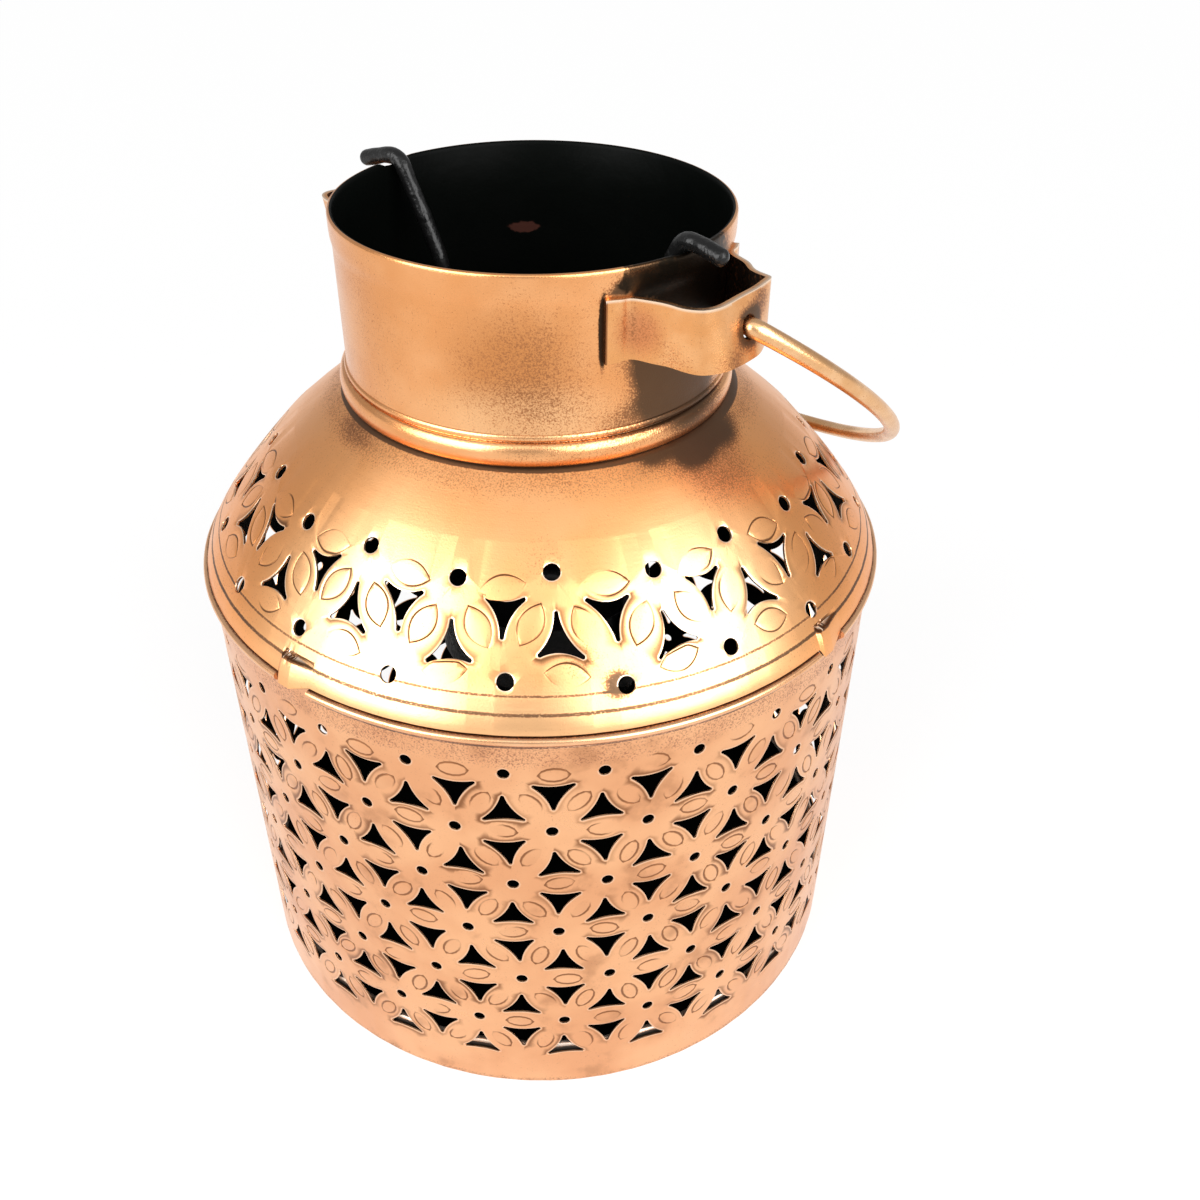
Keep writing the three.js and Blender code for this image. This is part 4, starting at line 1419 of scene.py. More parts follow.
@dataclass
class Drum:
    """The pierced copper drum: a rolled wall with a lap at the back, and a rolled lip with four notches."""

    radius: float = 61 * MM
    top: float = 88.8 * MM
    sheet: float = 0.35 * MM
    columns: int = 24
    row_heights: tuple[float, ...] = (80.9, 68.4, 55.9, 43.9, 31.1, 18.9, 6.5)
    row_phases: tuple[float, ...] = (-0.1148, -0.1228, -0.1029, -0.1095, -0.0908, -0.0971, -0.095)
    lip_section: tuple[tuple[float, float], ...] = (
        (61.02, 86.3),
        (61.10, 86.62),
        (61.28, 86.95),
        (61.55, 87.22),
        (61.85, 87.48),
        (62.08, 87.76),
        (62.17, 88.08),
        (62.12, 88.42),
        (61.92, 88.66),
        (61.60, 88.77),
        (61.25, 88.80),
        (61.02, 88.80),
    )
    punches: Punches = Punches(
        eyelet=1.0 * MM,
        star_reach=0.438,
        star_waist=0.372,
        star_turn=math.radians(5),
        tip_round=0.32 * MM,
        lens_length=5.1 * MM,
        lens_width=2.7 * MM,
        lens_blunt=0.62,
        lens_turn=math.radians(14),
        lens_slip=0.4 * MM,
        line_width=0.33 * MM,
        line_depth=0.13 * MM,
        roll=0.5 * MM,
        roll_depth=0.085 * MM,
        arc_steps=2,
        lens_steps=6,
        uneven=0.9,
    )

    LIP_STEPS = 96
    OUTLINE_STEPS = 200
    TOP_ARCS = 6

    def node(self, index: Array, row: Array) -> Array:
        """Nodes of the lattice on the flat wall: rows from the top, half columns from the lap."""
        half = FULL_TURN / (2 * self.columns + 1)
        phases = np.array(self.row_phases)
        heights = np.array(self.row_heights) * MM
        azimuth = phases[row] + (index - self.columns) * half
        return np.stack(np.broadcast_arrays(azimuth, heights[row] / self.radius), axis=-1)

    def eyelets(self, index: Array, row: Array) -> Array:
        """Flat radii of the eyelets: every other half column, and none in the lowest row."""
        there = (index % 2 == row % 2) & (row < len(self.row_heights) - 1)
        return np.where(there, self.punches.eyelet / self.radius, 0.0)

    def add_tiles(self, sheet: Sheet, index: Array, row: Array, starred: bool) -> None:
        """Adds tiles by the index and row of their corners.

        Args:
            sheet: Sheet that takes them.
            index: Half columns of the corners, shaped (n, sides).
            row: Rows of the corners, shaped (n, sides).
            starred: Whether they have a star.
        """
        last = len(self.row_heights) - 1
        corners = self.node(index, row)
        on_node = index % 2 == row % 2
        low_side = (row == last) & (np.roll(row, -1, axis=1) == last)
        seam = (index >= 2 * self.columns) & (np.roll(index, -1, axis=1) >= 2 * self.columns)
        lens = (on_node & np.roll(on_node, -1, axis=1) & ~low_side & ~seam).astype(float)
        sides = Sides.of_tiles(corners, np.full(index.shape, 1 / self.radius), lens, 0 * lens)
        holes = self.eyelets(index % (2 * self.columns + 1), row)
        self.punches.tiles(sheet, sides, corners.mean(axis=1), holes, starred)

    def wall(self) -> Piece:
        """The wall: whole tiles, half tiles at the lap, the plain lap, and plain bands above and below.

        Returns:
            The wall's piece.
        """
        sheet = Sheet(around=True)
        bands = len(self.row_heights) - 1
        last = 2 * self.columns
        row, i = np.meshgrid(np.arange(bands), np.arange(last - 1), indexing="ij")
        row, i = row.reshape(-1), i.reshape(-1)
        above = i % 2 == row % 2
        down = np.stack([i, i + 1, i + 2], axis=-1), np.stack([row, row + 1, row], axis=-1)
        up = np.stack([i, i + 2, i + 1], axis=-1), np.stack([row + 1, row + 1, row], axis=-1)
        self.add_tiles(sheet, down[0][above], down[1][above], True)
        self.add_tiles(sheet, up[0][~above], up[1][~above], True)
        rows = np.arange(bands)
        inner = rows + 1 - rows % 2
        none = 0 * rows
        start = np.stack([none, none, none + 1], axis=-1)
        self.add_tiles(sheet, start, np.stack([rows, rows + 1, inner], axis=-1), False)
        end = np.stack([none + last, none + last - 1, none + last], axis=-1)
        self.add_tiles(sheet, end, np.stack([rows, inner, rows + 1], axis=-1), False)
        lap = np.stack([none + last, none + last, none + last + 1, none + last + 1], axis=-1)
        self.add_tiles(sheet, lap, np.stack([rows, rows + 1, rows + 1, rows], axis=-1), False)
        self.add_border(sheet, 0, self.top, self.TOP_ARCS)
        self.add_border(sheet, bands, 0.0, 0)
        height = np.linspace(0, self.top, self.OUTLINE_STEPS)
        outline = Outline(np.full_like(height, self.radius), height)
        return sheet.piece("drum_wall", outline.bend, self.sheet, True)

    def add_border(self, sheet: Sheet, row: int, height: float, arcs: int) -> None:
        """Adds the plain band between a row and a height.

        Args:
            sheet: Sheet that takes it.
            row: Row of nodes.
            height: Height of the band's far edge.
            arcs: Steps of the quarter circles round the eyelets.
        """
        last = 2 * self.columns
        near = np.arange(0, last + 1, 2)
        far = np.append(near[1:], last + 1)
        if height < self.row_heights[row] * MM:
            near, far = far, near
        rows = np.full_like(near, row)
        lens = ((np.abs(far - near) == 2) & (row == 0)).astype(float)
        holes = np.stack([self.eyelets(end % (last + 1), rows) for end in (near, far)], axis=-1)
        scale = np.full(len(near), 1 / self.radius)
        sides = Sides(self.node(near, rows), self.node(far, rows), scale, lens, 0 * lens)
        self.punches.border(sheet, sides, holes, height / self.radius, arcs, not lens.any())

    def lip(self, azimuths: Array, notch: float) -> Piece:
        """The rolled lip as bars between the notches: a bulged section carried round the drum.

        Args:
            azimuths: Middles of the notches in rising order, in radians.
            notch: Width of a notch.

        Returns:
            The lip's piece.
        """
        section = np.array(self.lip_section) * MM
        half = notch / 2 / self.radius
        starts = azimuths + half
        ends = np.roll(azimuths, -1) - half
        ends = np.where(ends < starts, ends + FULL_TURN, ends)
        steps = self.LIP_STEPS
        run = starts[:, None] + (ends - starts)[:, None] * np.linspace(0, 1, steps + 1)
        ring = np.vstack([section, section[:1]])
        points = polar(ring[None, :, None, 0], run[:, None, :], ring[None, :, None, 1]).reshape(-1, 3)
        quads = grid_quads(len(azimuths), len(ring), steps + 1)
        columns = np.arange(len(section)) * (steps + 1)
        first = np.arange(len(azimuths))[:, None] * len(ring) * (steps + 1)
        caps = np.vstack([first + columns, (first + columns + steps)[:, ::-1]])
        piece = welded("drum_lip", points, quads, np.zeros(len(quads), dtype=bool))
        _, place = np.unique(np.round(points, 8), axis=0, return_inverse=True)
        piece.faces.append(place.reshape(-1)[caps])
        piece.inside.append(False)
        return piece

    def build(self, finishes: Finishes, azimuths: Array, notch: float) -> None:
        """Makes the wall and the lip.

        Args:
            finishes: Finishes of the lantern.
            azimuths: Middles of the lip's notches, in radians.
            notch: Width of a notch.
        """
        wall = self.wall().make([finishes.drum, finishes.inside], True)
        settle(wall, Body.LANTERN, Slot.COPPER_DRUM, "drum_shell")
        lip = self.lip(azimuths, notch).make([finishes.lip, finishes.inside])
        settle(lip, Body.LANTERN, Slot.COPPER_DRUM)


@dataclass
class Shoulder:
    """The spun gold shoulder: one band of stars between two rows of eyelets, and four staked tongues."""

    foot_radius: float = 61.3 * MM
    foot: float = 89.1 * MM
    turn_radius: float = 60.2 * MM
    turn_height: float = 94.8 * MM
    mouth_radius: float = 33.3 * MM
    mouth: float = 122.6 * MM
    sag_radius: float = 47.5 * MM
    sag: float = 3.6 * MM
    sag_power: float = 1.2
    tucked_radius: float = 32.6 * MM
    skirt_radius: float = 60.0 * MM
    skirt_foot: float = 84.6 * MM
    sheet: float = 0.5 * MM
    columns: int = 20
    high_phase: float = 1.3
    low_phase: float = 11.8
    up_phase: float = 2.0
    down_phase: float = 11.0
    high_radii: tuple[float, float] = (46.5, 47.6)
    low_radii: tuple[float, float] = (58.05, 57.2)
    up_radii: tuple[float, float] = (53.25, 54.65)
    down_radii: tuple[float, float] = (51.3, 50.7)
    high_shift: float = 0.9
    up_shift: float = 0.8
    high_lift: float = -1.5 * MM
    low_lift: float = 1.6 * MM
    high_ring: float = 111.6 * MM
    low_ring: float = 93.6 * MM
    stakes: tuple[float, ...] = (-130.5, -40.5, 49.5, 139.5)
    stake_width: float = 6.4 * MM
    stake_top: float = 92.0 * MM
    stake_out: float = 0.85 * MM
    stake_drop: float = 1.5 * MM
    slit_height: float = 0.75 * MM
    slit_depth: float = 0.55 * MM
    notch: float = 7.2 * MM
    punches: Punches = Punches(
        eyelet=1.35 * MM,
        star_reach=0.405,
        star_waist=0.30,
        star_turn=math.radians(10),
        tip_round=0.35 * MM,
        lens_length=7.0 * MM,
        lens_width=3.8 * MM,
        lens_blunt=0.95,
        lens_turn=math.radians(8),
        lens_slip=0.3 * MM,
        line_width=0.25 * MM,
        line_depth=0.12 * MM,
        roll=0.4 * MM,
        roll_depth=0.10 * MM,
        arc_steps=3,
        lens_steps=14,
        uneven=0.8,
    )

    OUTLINE_STEPS = 400
    STEP = 0.25 * MM
    SKIRT_TURN = ((0.0, -0.35), (0.12, -0.08), (0.4, 0.0))
    FOOT_TURN = ((-0.3, 0.02), (-0.08, 0.1))
    TUCK_RISE = 0.03 * MM
    SKIRT_POINTS = 6
    UPPER_ROWS = 12
    BORDER_ARCS = 9
    FOOT_HEIGHTS = (89.7, 90.4, 91.1, 91.6)
    SLIT_ROWS = (0.0, 0.12, 0.4, 0.7, 1.0, 1.25)
    SLIT_END = 4
    GRAIN_LIMIT = 0.72
    TONGUE_MARGIN = 0.3 * MM
    TONGUE_EASE = 0.9 * MM
    PUSH = (0.65, 0.4)
    DENT = (0.45, 0.9)
    DROP_POWER = 1.6
    WAVES = ((150, 1.0), (331, 2.0))
    WAVER = 0.16 * MM
    WAVER_REACH = 1.2

    def outline(self) -> Outline:
        """The shoulder's outline: the skirt, the turned foot, and a curve pulled towards one corner.

        Near the neck the curve sags by a power of the way in from the sag's radius.

        Returns:
            The outline, whose height always rises.
        """
        t = np.linspace(0, 1, self.OUTLINE_STEPS)[:, None]
        foot = np.array([self.foot_radius, self.foot])
        turn = np.array([self.turn_radius, self.turn_height])
        mouth = np.array([self.mouth_radius, self.mouth])
        curve = bow(foot, turn, mouth, t)
        way_in = np.clip((self.sag_radius - curve[:, 0]) / (self.sag_radius - self.mouth_radius), 0.0, 1.0)
        curve[:, 1] -= self.sag * way_in**self.sag_power
        under = self.foot - self.STEP
        out = np.array([self.skirt_radius, under]) + np.array(self.SKIRT_TURN) * MM
        up = np.array([self.foot_radius, under]) + np.array(self.FOOT_TURN) * MM
        tucked = [self.tucked_radius, curve[-1, 1] + self.TUCK_RISE]
        whole = np.vstack([[self.skirt_radius, self.skirt_foot], out, up, curve, tucked])
        return Outline(whole[:, 0], whole[:, 1])

    def nodes(self, outline: Outline, k: Array, phase: float, radii: Range, shift: float) -> Array:
        """Places in a row: every column, with every other one at the second radius and shifted aside.

        Args:
            outline: The shoulder's outline.
            k: Columns.
            phase: Azimuth of the first column, in degrees.
            radii: Radii of the even and odd columns, in millimetres.
            shift: Azimuth by which the odd columns are off, in degrees.

        Returns:
            Places (azimuth, w) shaped as k with 2 more.
        """
        odd = k % 2
        azimuth = np.radians(phase + 360 / self.columns * k + shift * odd)
        radius = np.where(odd == 0, radii[0], radii[1]) * MM
        return np.stack([azimuth, outline.w_at_radius(radius)], axis=-1)

    def high(self, outline: Outline, k: Array) -> Array:
        """Nodes of the high row."""
        return self.nodes(outline, k, self.high_phase, self.high_radii, self.high_shift)

    def low(self, outline: Outline, k: Array) -> Array:
        """Nodes of the low row."""
        return self.nodes(outline, k, self.low_phase, self.low_radii, 0.0)

    def tongue(self, azimuth: Array) -> Array:
        """How far inside a tongue's width each azimuth is: 1 well inside, 0 outside."""
        share = np.zeros(azimuth.shape)
        for stake in np.radians(self.stakes):
            aside = np.abs(wrapped(azimuth - stake)) * self.foot_radius
            inside = self.stake_width / 2 + self.TONGUE_MARGIN - aside
            share = np.maximum(share, smooth(inside / self.TONGUE_EASE))
        return share

    def staked(self, outline: Outline, flat: Array, points: Array) -> Array:
        """Pushes the tongues out over the lip's notches and the torn slits over them in.

        Below the slit, each tongue stands out by a length that grows downwards, and its foot is drawn
        down. The push fades over the tongue's two edges. The slit is dented in by an uneven depth, and
        both its edges waver.

        Args:
            outline: The shoulder's outline.
            flat: Places (azimuth, w), shaped (n, 2).
            points: Bent points, shaped (n, 3).

        Returns:
            The pushed points.
        """
        top, foot = outline.w_at_height(self.stake_top), outline.w_at_height(self.foot)
        over = outline.w_at_height(self.stake_top + self.slit_height)
        azimuth, w = flat[:, 0], flat[:, 1]
        share = self.tongue(azimuth)
        down = np.clip((top - w) / (top - foot), 0.0, 1.0)
        push = share * ((w <= top + SLACK) & (w >= foot - SLACK))
        torn = share * ((w > top + SLACK) & (w < over + SLACK))
        draw = draw_at(flat, Draw.STRIKE)
        out = push * self.stake_out * (self.PUSH[0] + self.PUSH[1] * down)
        out = out - torn * self.slit_depth * (self.DENT[0] + self.DENT[1] * draw)
        waver = waves(azimuth, self.WAVES)
        off_slit = np.abs(w - (top + over) / 2) / (self.WAVER_REACH * (over - top))
        moved = points.copy()
        moved[:, 0] += out * np.sin(azimuth)
        moved[:, 1] -= out * np.cos(azimuth)
        moved[:, 2] -= push * self.stake_drop * down**self.DROP_POWER
        moved[:, 2] += share * smooth(1 - off_slit) * self.WAVER * waver
        return moved

    def sides(self, outline: Outline, corners: Array, lift: tuple[float, ...]) -> list[Sides]:
        """Sides of tiles with corners shaped (n, sides, 2), whose lenses are lifted by a length each."""
        between = (corners[..., 1] + np.roll(corners[..., 1], -1, axis=1)) / 2
        scale = 1 / outline.radius_at(between)
        lifts = np.broadcast_to(np.array(lift), scale.shape)
        return Sides.of_tiles(corners, scale, np.ones_like(scale), lifts)

    def dome(self) -> Piece:
        """The pierced shoulder with its skirt.

        Returns:
            The shoulder's piece.
        """
        outline = self.outline()
        sheet = Sheet(around=True)
        k = np.arange(self.columns)
        high, next_high = self.high(outline, k), self.high(outline, k + 1)
        low, last_low = self.low(outline, k), self.low(outline, k - 1)
        down = np.stack([high, low, next_high], axis=1)
        up = np.stack([last_low, low, high], axis=1)
        down_middle = self.nodes(outline, k, self.down_phase, self.down_radii, 0.0)
        up_middle = self.nodes(outline, k, self.up_phase, self.up_radii, self.up_shift)
        down_sides = self.sides(outline, down, (0.0, 0.0, self.high_lift))
        up_sides = self.sides(outline, up, (self.low_lift, 0.0, 0.0))
        for corners, middle, sides in ((down, down_middle, down_sides), (up, up_middle, up_sides)):
            holes = self.punches.eyelet / outline.radius_at(corners[..., 1])
            self.punches.tiles(sheet, sides, middle, holes, True)
        high_ring = outline.w_at_height(self.high_ring)
        low_ring = outline.w_at_height(self.low_ring)
        over = self.add_border(sheet, outline, np.stack([high, next_high], axis=1), self.high_lift, high_ring)
        under = self.add_border(sheet, outline, np.stack([low, last_low], axis=1), self.low_lift, low_ring)
        upper = np.append(np.linspace(high_ring, outline.w[-2], self.UPPER_ROWS), outline.w[-1])
        sheet.add(ring_patch(over, upper))
        sheet.add(self.foot_band(outline, under, low_ring))

        def bend(flat: Array, below: Array) -> Array:
            """Bends the sheet onto the outline and pushes its tongues out."""
            return self.staked(outline, flat, outline.bend(flat, below))

        return sheet.piece("shoulder_dome_sheet", bend, self.sheet, False)

    def add_border(self, sheet: Sheet, outline: Outline, ends: Array, lift: float, ring: float) -> Array:
        """Adds the plain band between a row of nodes and a ring.

        Args:
            sheet: Sheet that takes it.
            outline: The shoulder's outline.
            ends: Nodes at both ends of the row's sides, shaped (n, 2, 2).
            lift: Length by which the lenses are moved up.
            ring: The ring's w.

        Returns:
            Azimuths of the ring's corners.
        """
        sides = self.sides(outline, ends, (lift, lift))[0]
        holes = self.punches.eyelet / outline.radius_at(ends[..., 1])
        return self.punches.border(sheet, sides, holes, ring, self.BORDER_ARCS, False)

    def foot_band(self, outline: Outline, azimuth: Array, ring: float) -> Patch:
        """The plain band from the skirt's foot up to the low ring, with torn slits over the tongues painted
        dark as shade in their openings.

        Bright grains stand in the slits, and the skirt under the foot is painted dark as shade in the gap
        over the lip.

        Args:
            outline: The shoulder's outline.
            azimuth: Azimuths of its columns.
            ring: The w of the low ring.

        Returns:
            The band.
        """
        foot = outline.w_at_height(np.array(self.FOOT_HEIGHTS) * MM)
        slit = outline.w_at_height(self.stake_top + self.slit_height * np.array(self.SLIT_ROWS))
        levels = np.concatenate([outline.w[: self.SKIRT_POINTS + 1], foot, slit, [ring]])
        patch = ring_patch(azimuth, levels)
        level = patch.flat[..., 1]
        share = self.tongue(patch.flat[..., 0])
        # painted shade: the torn slits are dark
        dark = share * ((level > slit[0] - SLACK) & (level < slit[self.SLIT_END] + SLACK))
        grains = dark * (scatter(patch.flat[..., 0], level, Draw.GRAIN) > self.GRAIN_LIMIT)
        # painted shade: the skirt rows under the foot are dark
        under = level < outline.w[self.SKIRT_POINTS - 1] + SLACK
        return Patch(patch.flat, patch.sunk, np.maximum(dark * (1 - grains), under), grains)

    def build(self, finishes: Finishes) -> None:
        """Makes the shoulder."""
        made = self.dome().make([finishes.shoulder, finishes.inside], True)
        settle(made, Body.LANTERN, Slot.GOLD_SHOULDER, "shoulder_dome")


@dataclass
class Neck:
    """The plain neck: a slightly oval tube with a thin rim, a rolled bead and a small ridge over it."""

    bead_middle: tuple[float, float] = (33.0, 120.75)
    bead_half: tuple[float, float] = (1.4, 2.1)
    bead_blunt: float = 0.8
    ridge_middle: tuple[float, float] = (33.0, 123.45)
    ridge_half: tuple[float, float] = (0.42, 0.6)
    oval: float = 0.98
    aside: float = -0.5 * MM
    rim_dips: tuple[tuple[float, float], ...] = ((43.0, 0.3), (-131.0, 0.85))
    steps: int = 192

    BEAD_SWING = (-87, 86, 22)
    RIDGE_SWING = (-70, 80, 10)
    RIM_SWING = (10, 170, 9)
    WALL = ((33.03, 124.5), (33.0, 125.5), (33.0, 130.0), (33.0, 137.0), (33.0, 143.4))
    FLARE = ((33.04, 144.0), (33.15, 144.6), (33.28, 145.3), (33.34, 146.4), (33.34, 148.2))
    INSIDE = ((32.32, 148.3), (32.3, 140.0), (32.3, 130.0), (32.3, 118.4), (33.0, 117.2), (36.0, 114.9))
    UNDER = ((36.0, 115.6), (33.1, 118.0), (33.05, 118.5))
    RADIUS = 33.0
    RIM_MIDDLE = (32.9, 148.55)
    RIM_HALF = 0.45
    RIM_PAINTED = 5
    DIP_FOOT = 144.5
    DIP_RISE = 3.5
    DIP_FLAT = 1.6
    DIP_EASE = 2.4

    def outer(self) -> Array:
        """The outer outline from the bead's foot up to the rim, as (radius, height) in metres."""
        swing = np.radians(np.linspace(*self.BEAD_SWING))
        bulge = np.stack([np.cos(swing) ** self.bead_blunt, np.sin(swing)], axis=-1)
        bead = np.array(self.bead_middle) + np.array(self.bead_half) * bulge
        swing = np.radians(np.linspace(*self.RIDGE_SWING))
        ridge = np.array(self.ridge_middle) + np.array(self.ridge_half) * on_circle(swing)
        swing = np.radians(np.linspace(*self.RIM_SWING))
        rim = np.array(self.RIM_MIDDLE) + self.RIM_HALF * on_circle(swing)
        return np.vstack([bead, ridge, self.WALL, self.FLARE, rim]) * MM

    def tube(self) -> Piece:
        """The neck turned from its outline, with its painted inside and the flange under the shoulder.

        The rim is worn down by an eased dip under each hook of the hanger.

        Returns:
            The neck's piece.
        """
        outer = self.outer()
        outline = np.vstack([outer, np.array(self.INSIDE) * MM, np.array(self.UNDER) * MM])
        painted = np.zeros(len(outline), dtype=bool)
        painted[len(outer) - self.RIM_PAINTED :] = True
        piece = lathe("neck_tube_sheet", outline, painted, self.steps)
        around = np.arctan2(piece.points[:, 0], -piece.points[:, 1])
        near_rim = ramp(piece.points[:, 2] / MM, self.DIP_FOOT, self.DIP_RISE)
        for azimuth, depth in self.rim_dips:
            aside = np.abs(wrapped(around - np.radians(azimuth))) * self.RADIUS
            piece.points[:, 2] -= depth * MM * near_rim * smooth(self.DIP_FLAT - aside / self.DIP_EASE)
        piece.points[:, 0] = self.oval * piece.points[:, 0] + self.aside
        return piece

    def build(self, finishes: Finishes) -> None:
        """Makes the neck."""
        made = self.tube().make([finishes.neck, finishes.inside])
        settle(made, Body.LANTERN, Slot.GOLD_NECK, "neck_tube")


@dataclass
class Ear:
    """A strap ear: a strip bent into a hat, its feet on the neck and a hole in its face for the bail."""

    name: str
    azimuth: float
    mirrored: bool
    foot_radii: tuple[float, float]
    lean: float
    tuck: float
    top: float
    thickness: float = 0.9 * MM
    width: float = 9.5 * MM
    hole: float = 1.75 * MM
    wobble: float = 0.14 * MM
    foot_angles: tuple[float, ...] = (-28.7, -25.0, -21.5)
    end_angles: tuple[float, ...] = (22.0, 25.5, 29.0)
    hat: tuple[tuple[float, float], ...] = (
        (34.7, -11.2),
        (36.6, -10.7),
        (39.4, -10.3),
        (41.6, -9.3),
        (42.45, -7.3),
        (42.3, -3.8),
        (42.1, 0.4),
        (41.6, 5.4),
        (41.0, 7.6),
        (39.7, 8.3),
        (37.0, 9.0),
        (34.7, 10.5),
    )

    LEAN_IN = (-10.5, 6.0)
    LEAN_OUT = (1.0, 7.5)
    TUCK_IN = (4.0, 5.0)
    EDGE_WAVES = (620, 1.3, 190)
    PLAN_STEPS = 12
    PLAN_POINTS = 240
    RUN_STEPS = 48
    SQUARE_HALF = 4.0 * MM
    SQUARE_POINTS = 13
    HOLE_ROWS = (0.0, 0.12, 0.35, 0.65, 0.85, 0.96, 1.0)
    HOLE_ROLL = 0.12 * MM

    def plan(self) -> Array:
        """The strap's upper outer edge seen from above, as (radial, tangential) points at even distances."""
        foot = np.radians(np.array(self.foot_angles))
        end = np.radians(np.array(self.end_angles))
        start = self.foot_radii[0] / MM * on_circle(foot)
        finish = self.foot_radii[1] / MM * on_circle(end)
        points = np.vstack([start, np.array(self.hat), finish]) * MM
        if self.mirrored:
            points = points[::-1] * np.array([1.0, -1.0])
        return even_steps(through(points, self.PLAN_STEPS), self.PLAN_POINTS)

    def bend(self, flat: Array, below: Array) -> Array:
        """Bends the flat strap along its plan.

        Places are (length along the strap, height from its middle). The face leans out downwards, most
        in its middle, the far side is tucked in downwards, and the cut edges waver a little.

        Args:
            flat: Places shaped (n, 2).
            below: Depth under the outer face, shaped (n,).

        Returns:
            Points shaped (n, 3).
        """
        path = self.plan()
        length = np.linalg.norm(path[1] - path[0]) * np.arange(len(path))
        ahead = unit(np.gradient(path, axis=0))
        out = np.stack([ahead[:, 1], -ahead[:, 0]], axis=-1)
        u, v = flat[:, 0], flat[:, 1]
        radial = np.interp(u, length, path[:, 0]) - below * np.interp(u, length, out[:, 0])
        aside = np.interp(u, length, path[:, 1]) - below * np.interp(u, length, out[:, 1])
        down = 0.5 - v / self.width
        leans = ramp(aside / MM, *self.LEAN_IN) * (1 - ramp(aside / MM, *self.LEAN_OUT))
        radial = radial + self.lean * leans * down
        aside = aside - self.tuck * ramp(aside / MM, *self.TUCK_IN) * down
        edge = np.abs(2 * v / self.width)
        height = self.top - self.width / 2 + v
        fast, start, slow = self.EDGE_WAVES
        height = height + self.wobble * edge * np.sin(u * fast + np.sign(v) * start) * np.cos(u * slow)
        azimuth = np.radians(self.azimuth)
        outward = np.array([np.sin(azimuth), -np.cos(azimuth)])
        sideways = np.array([np.cos(azimuth), np.sin(azimuth)])
        level = radial[:, None] * outward + aside[:, None] * sideways
        return np.column_stack([level, height])

    def strap(self) -> Piece:
        """The strap as a grid on each side of a square with a hole, with a painted highlight along its upper
        edge.

        Returns:
            The ear's piece.
        """
        path = self.plan()
        total = np.linalg.norm(path[1] - path[0]) * (len(path) - 1)
        middle = np.interp(0.0, path[:, 1], np.linspace(0, total, len(path)))
        half_u, half_v = self.SQUARE_HALF, self.width / 2
        v = np.linspace(-half_v, half_v, self.SQUARE_POINTS)
        sheet = Sheet(around=False)
        for first, last in ((0.0, middle - half_u), (middle + half_u, total)):
            u = np.linspace(first, last, self.RUN_STEPS + 1)
            flat = np.stack(np.broadcast_arrays(u[None, :], v[:, None]), axis=-1)
            patch = Patch.plain(flat[None])
            # painted highlight along the strap's upper edge
            patch.rim = np.where(flat[None, ..., 1] > half_v - SLACK, 1.0, 0.0)
            # the strap's two ends are marked dark
            ends = np.minimum(flat[None, ..., 0], total - flat[None, ..., 0])
            patch.groove_and_shade = np.where(ends < SLACK, 1.0, 0.0)
            sheet.add(patch)
        across = np.linspace(-half_u, half_u, self.SQUARE_POINTS)
        low = np.stack([across, np.full_like(across, -half_v)], axis=-1)
        right = np.stack([np.full_like(v, half_u), v], axis=-1)
        square = np.vstack([low[:-1], right[:-1], -low[:-1], -right[:-1], low[:1]])
        circle = unit(square) * self.hole
        rows = np.array(self.HOLE_ROWS)[:, None, None]
        flat = square * (1 - rows) + circle * rows
        rim = np.where(flat[..., 1] > half_v - SLACK, 1.0, 0.0)
        sunk = np.zeros(flat.shape[:-1])
        sunk[-1] = self.HOLE_ROLL
        flat = flat + np.array([middle, 0.0])
        sheet.add(Patch(flat[None], sunk[None], 0 * rim[None], rim[None]))
        return sheet.piece(self.name + "_strap", self.bend, self.thickness, False)

    def build(self, finishes: Finishes) -> None:
        """Makes the ear."""
        made = self.strap().make([finishes.ear, finishes.ear_back])
        settle(made, Body.LANTERN, Slot.GOLD_EAR, self.name)


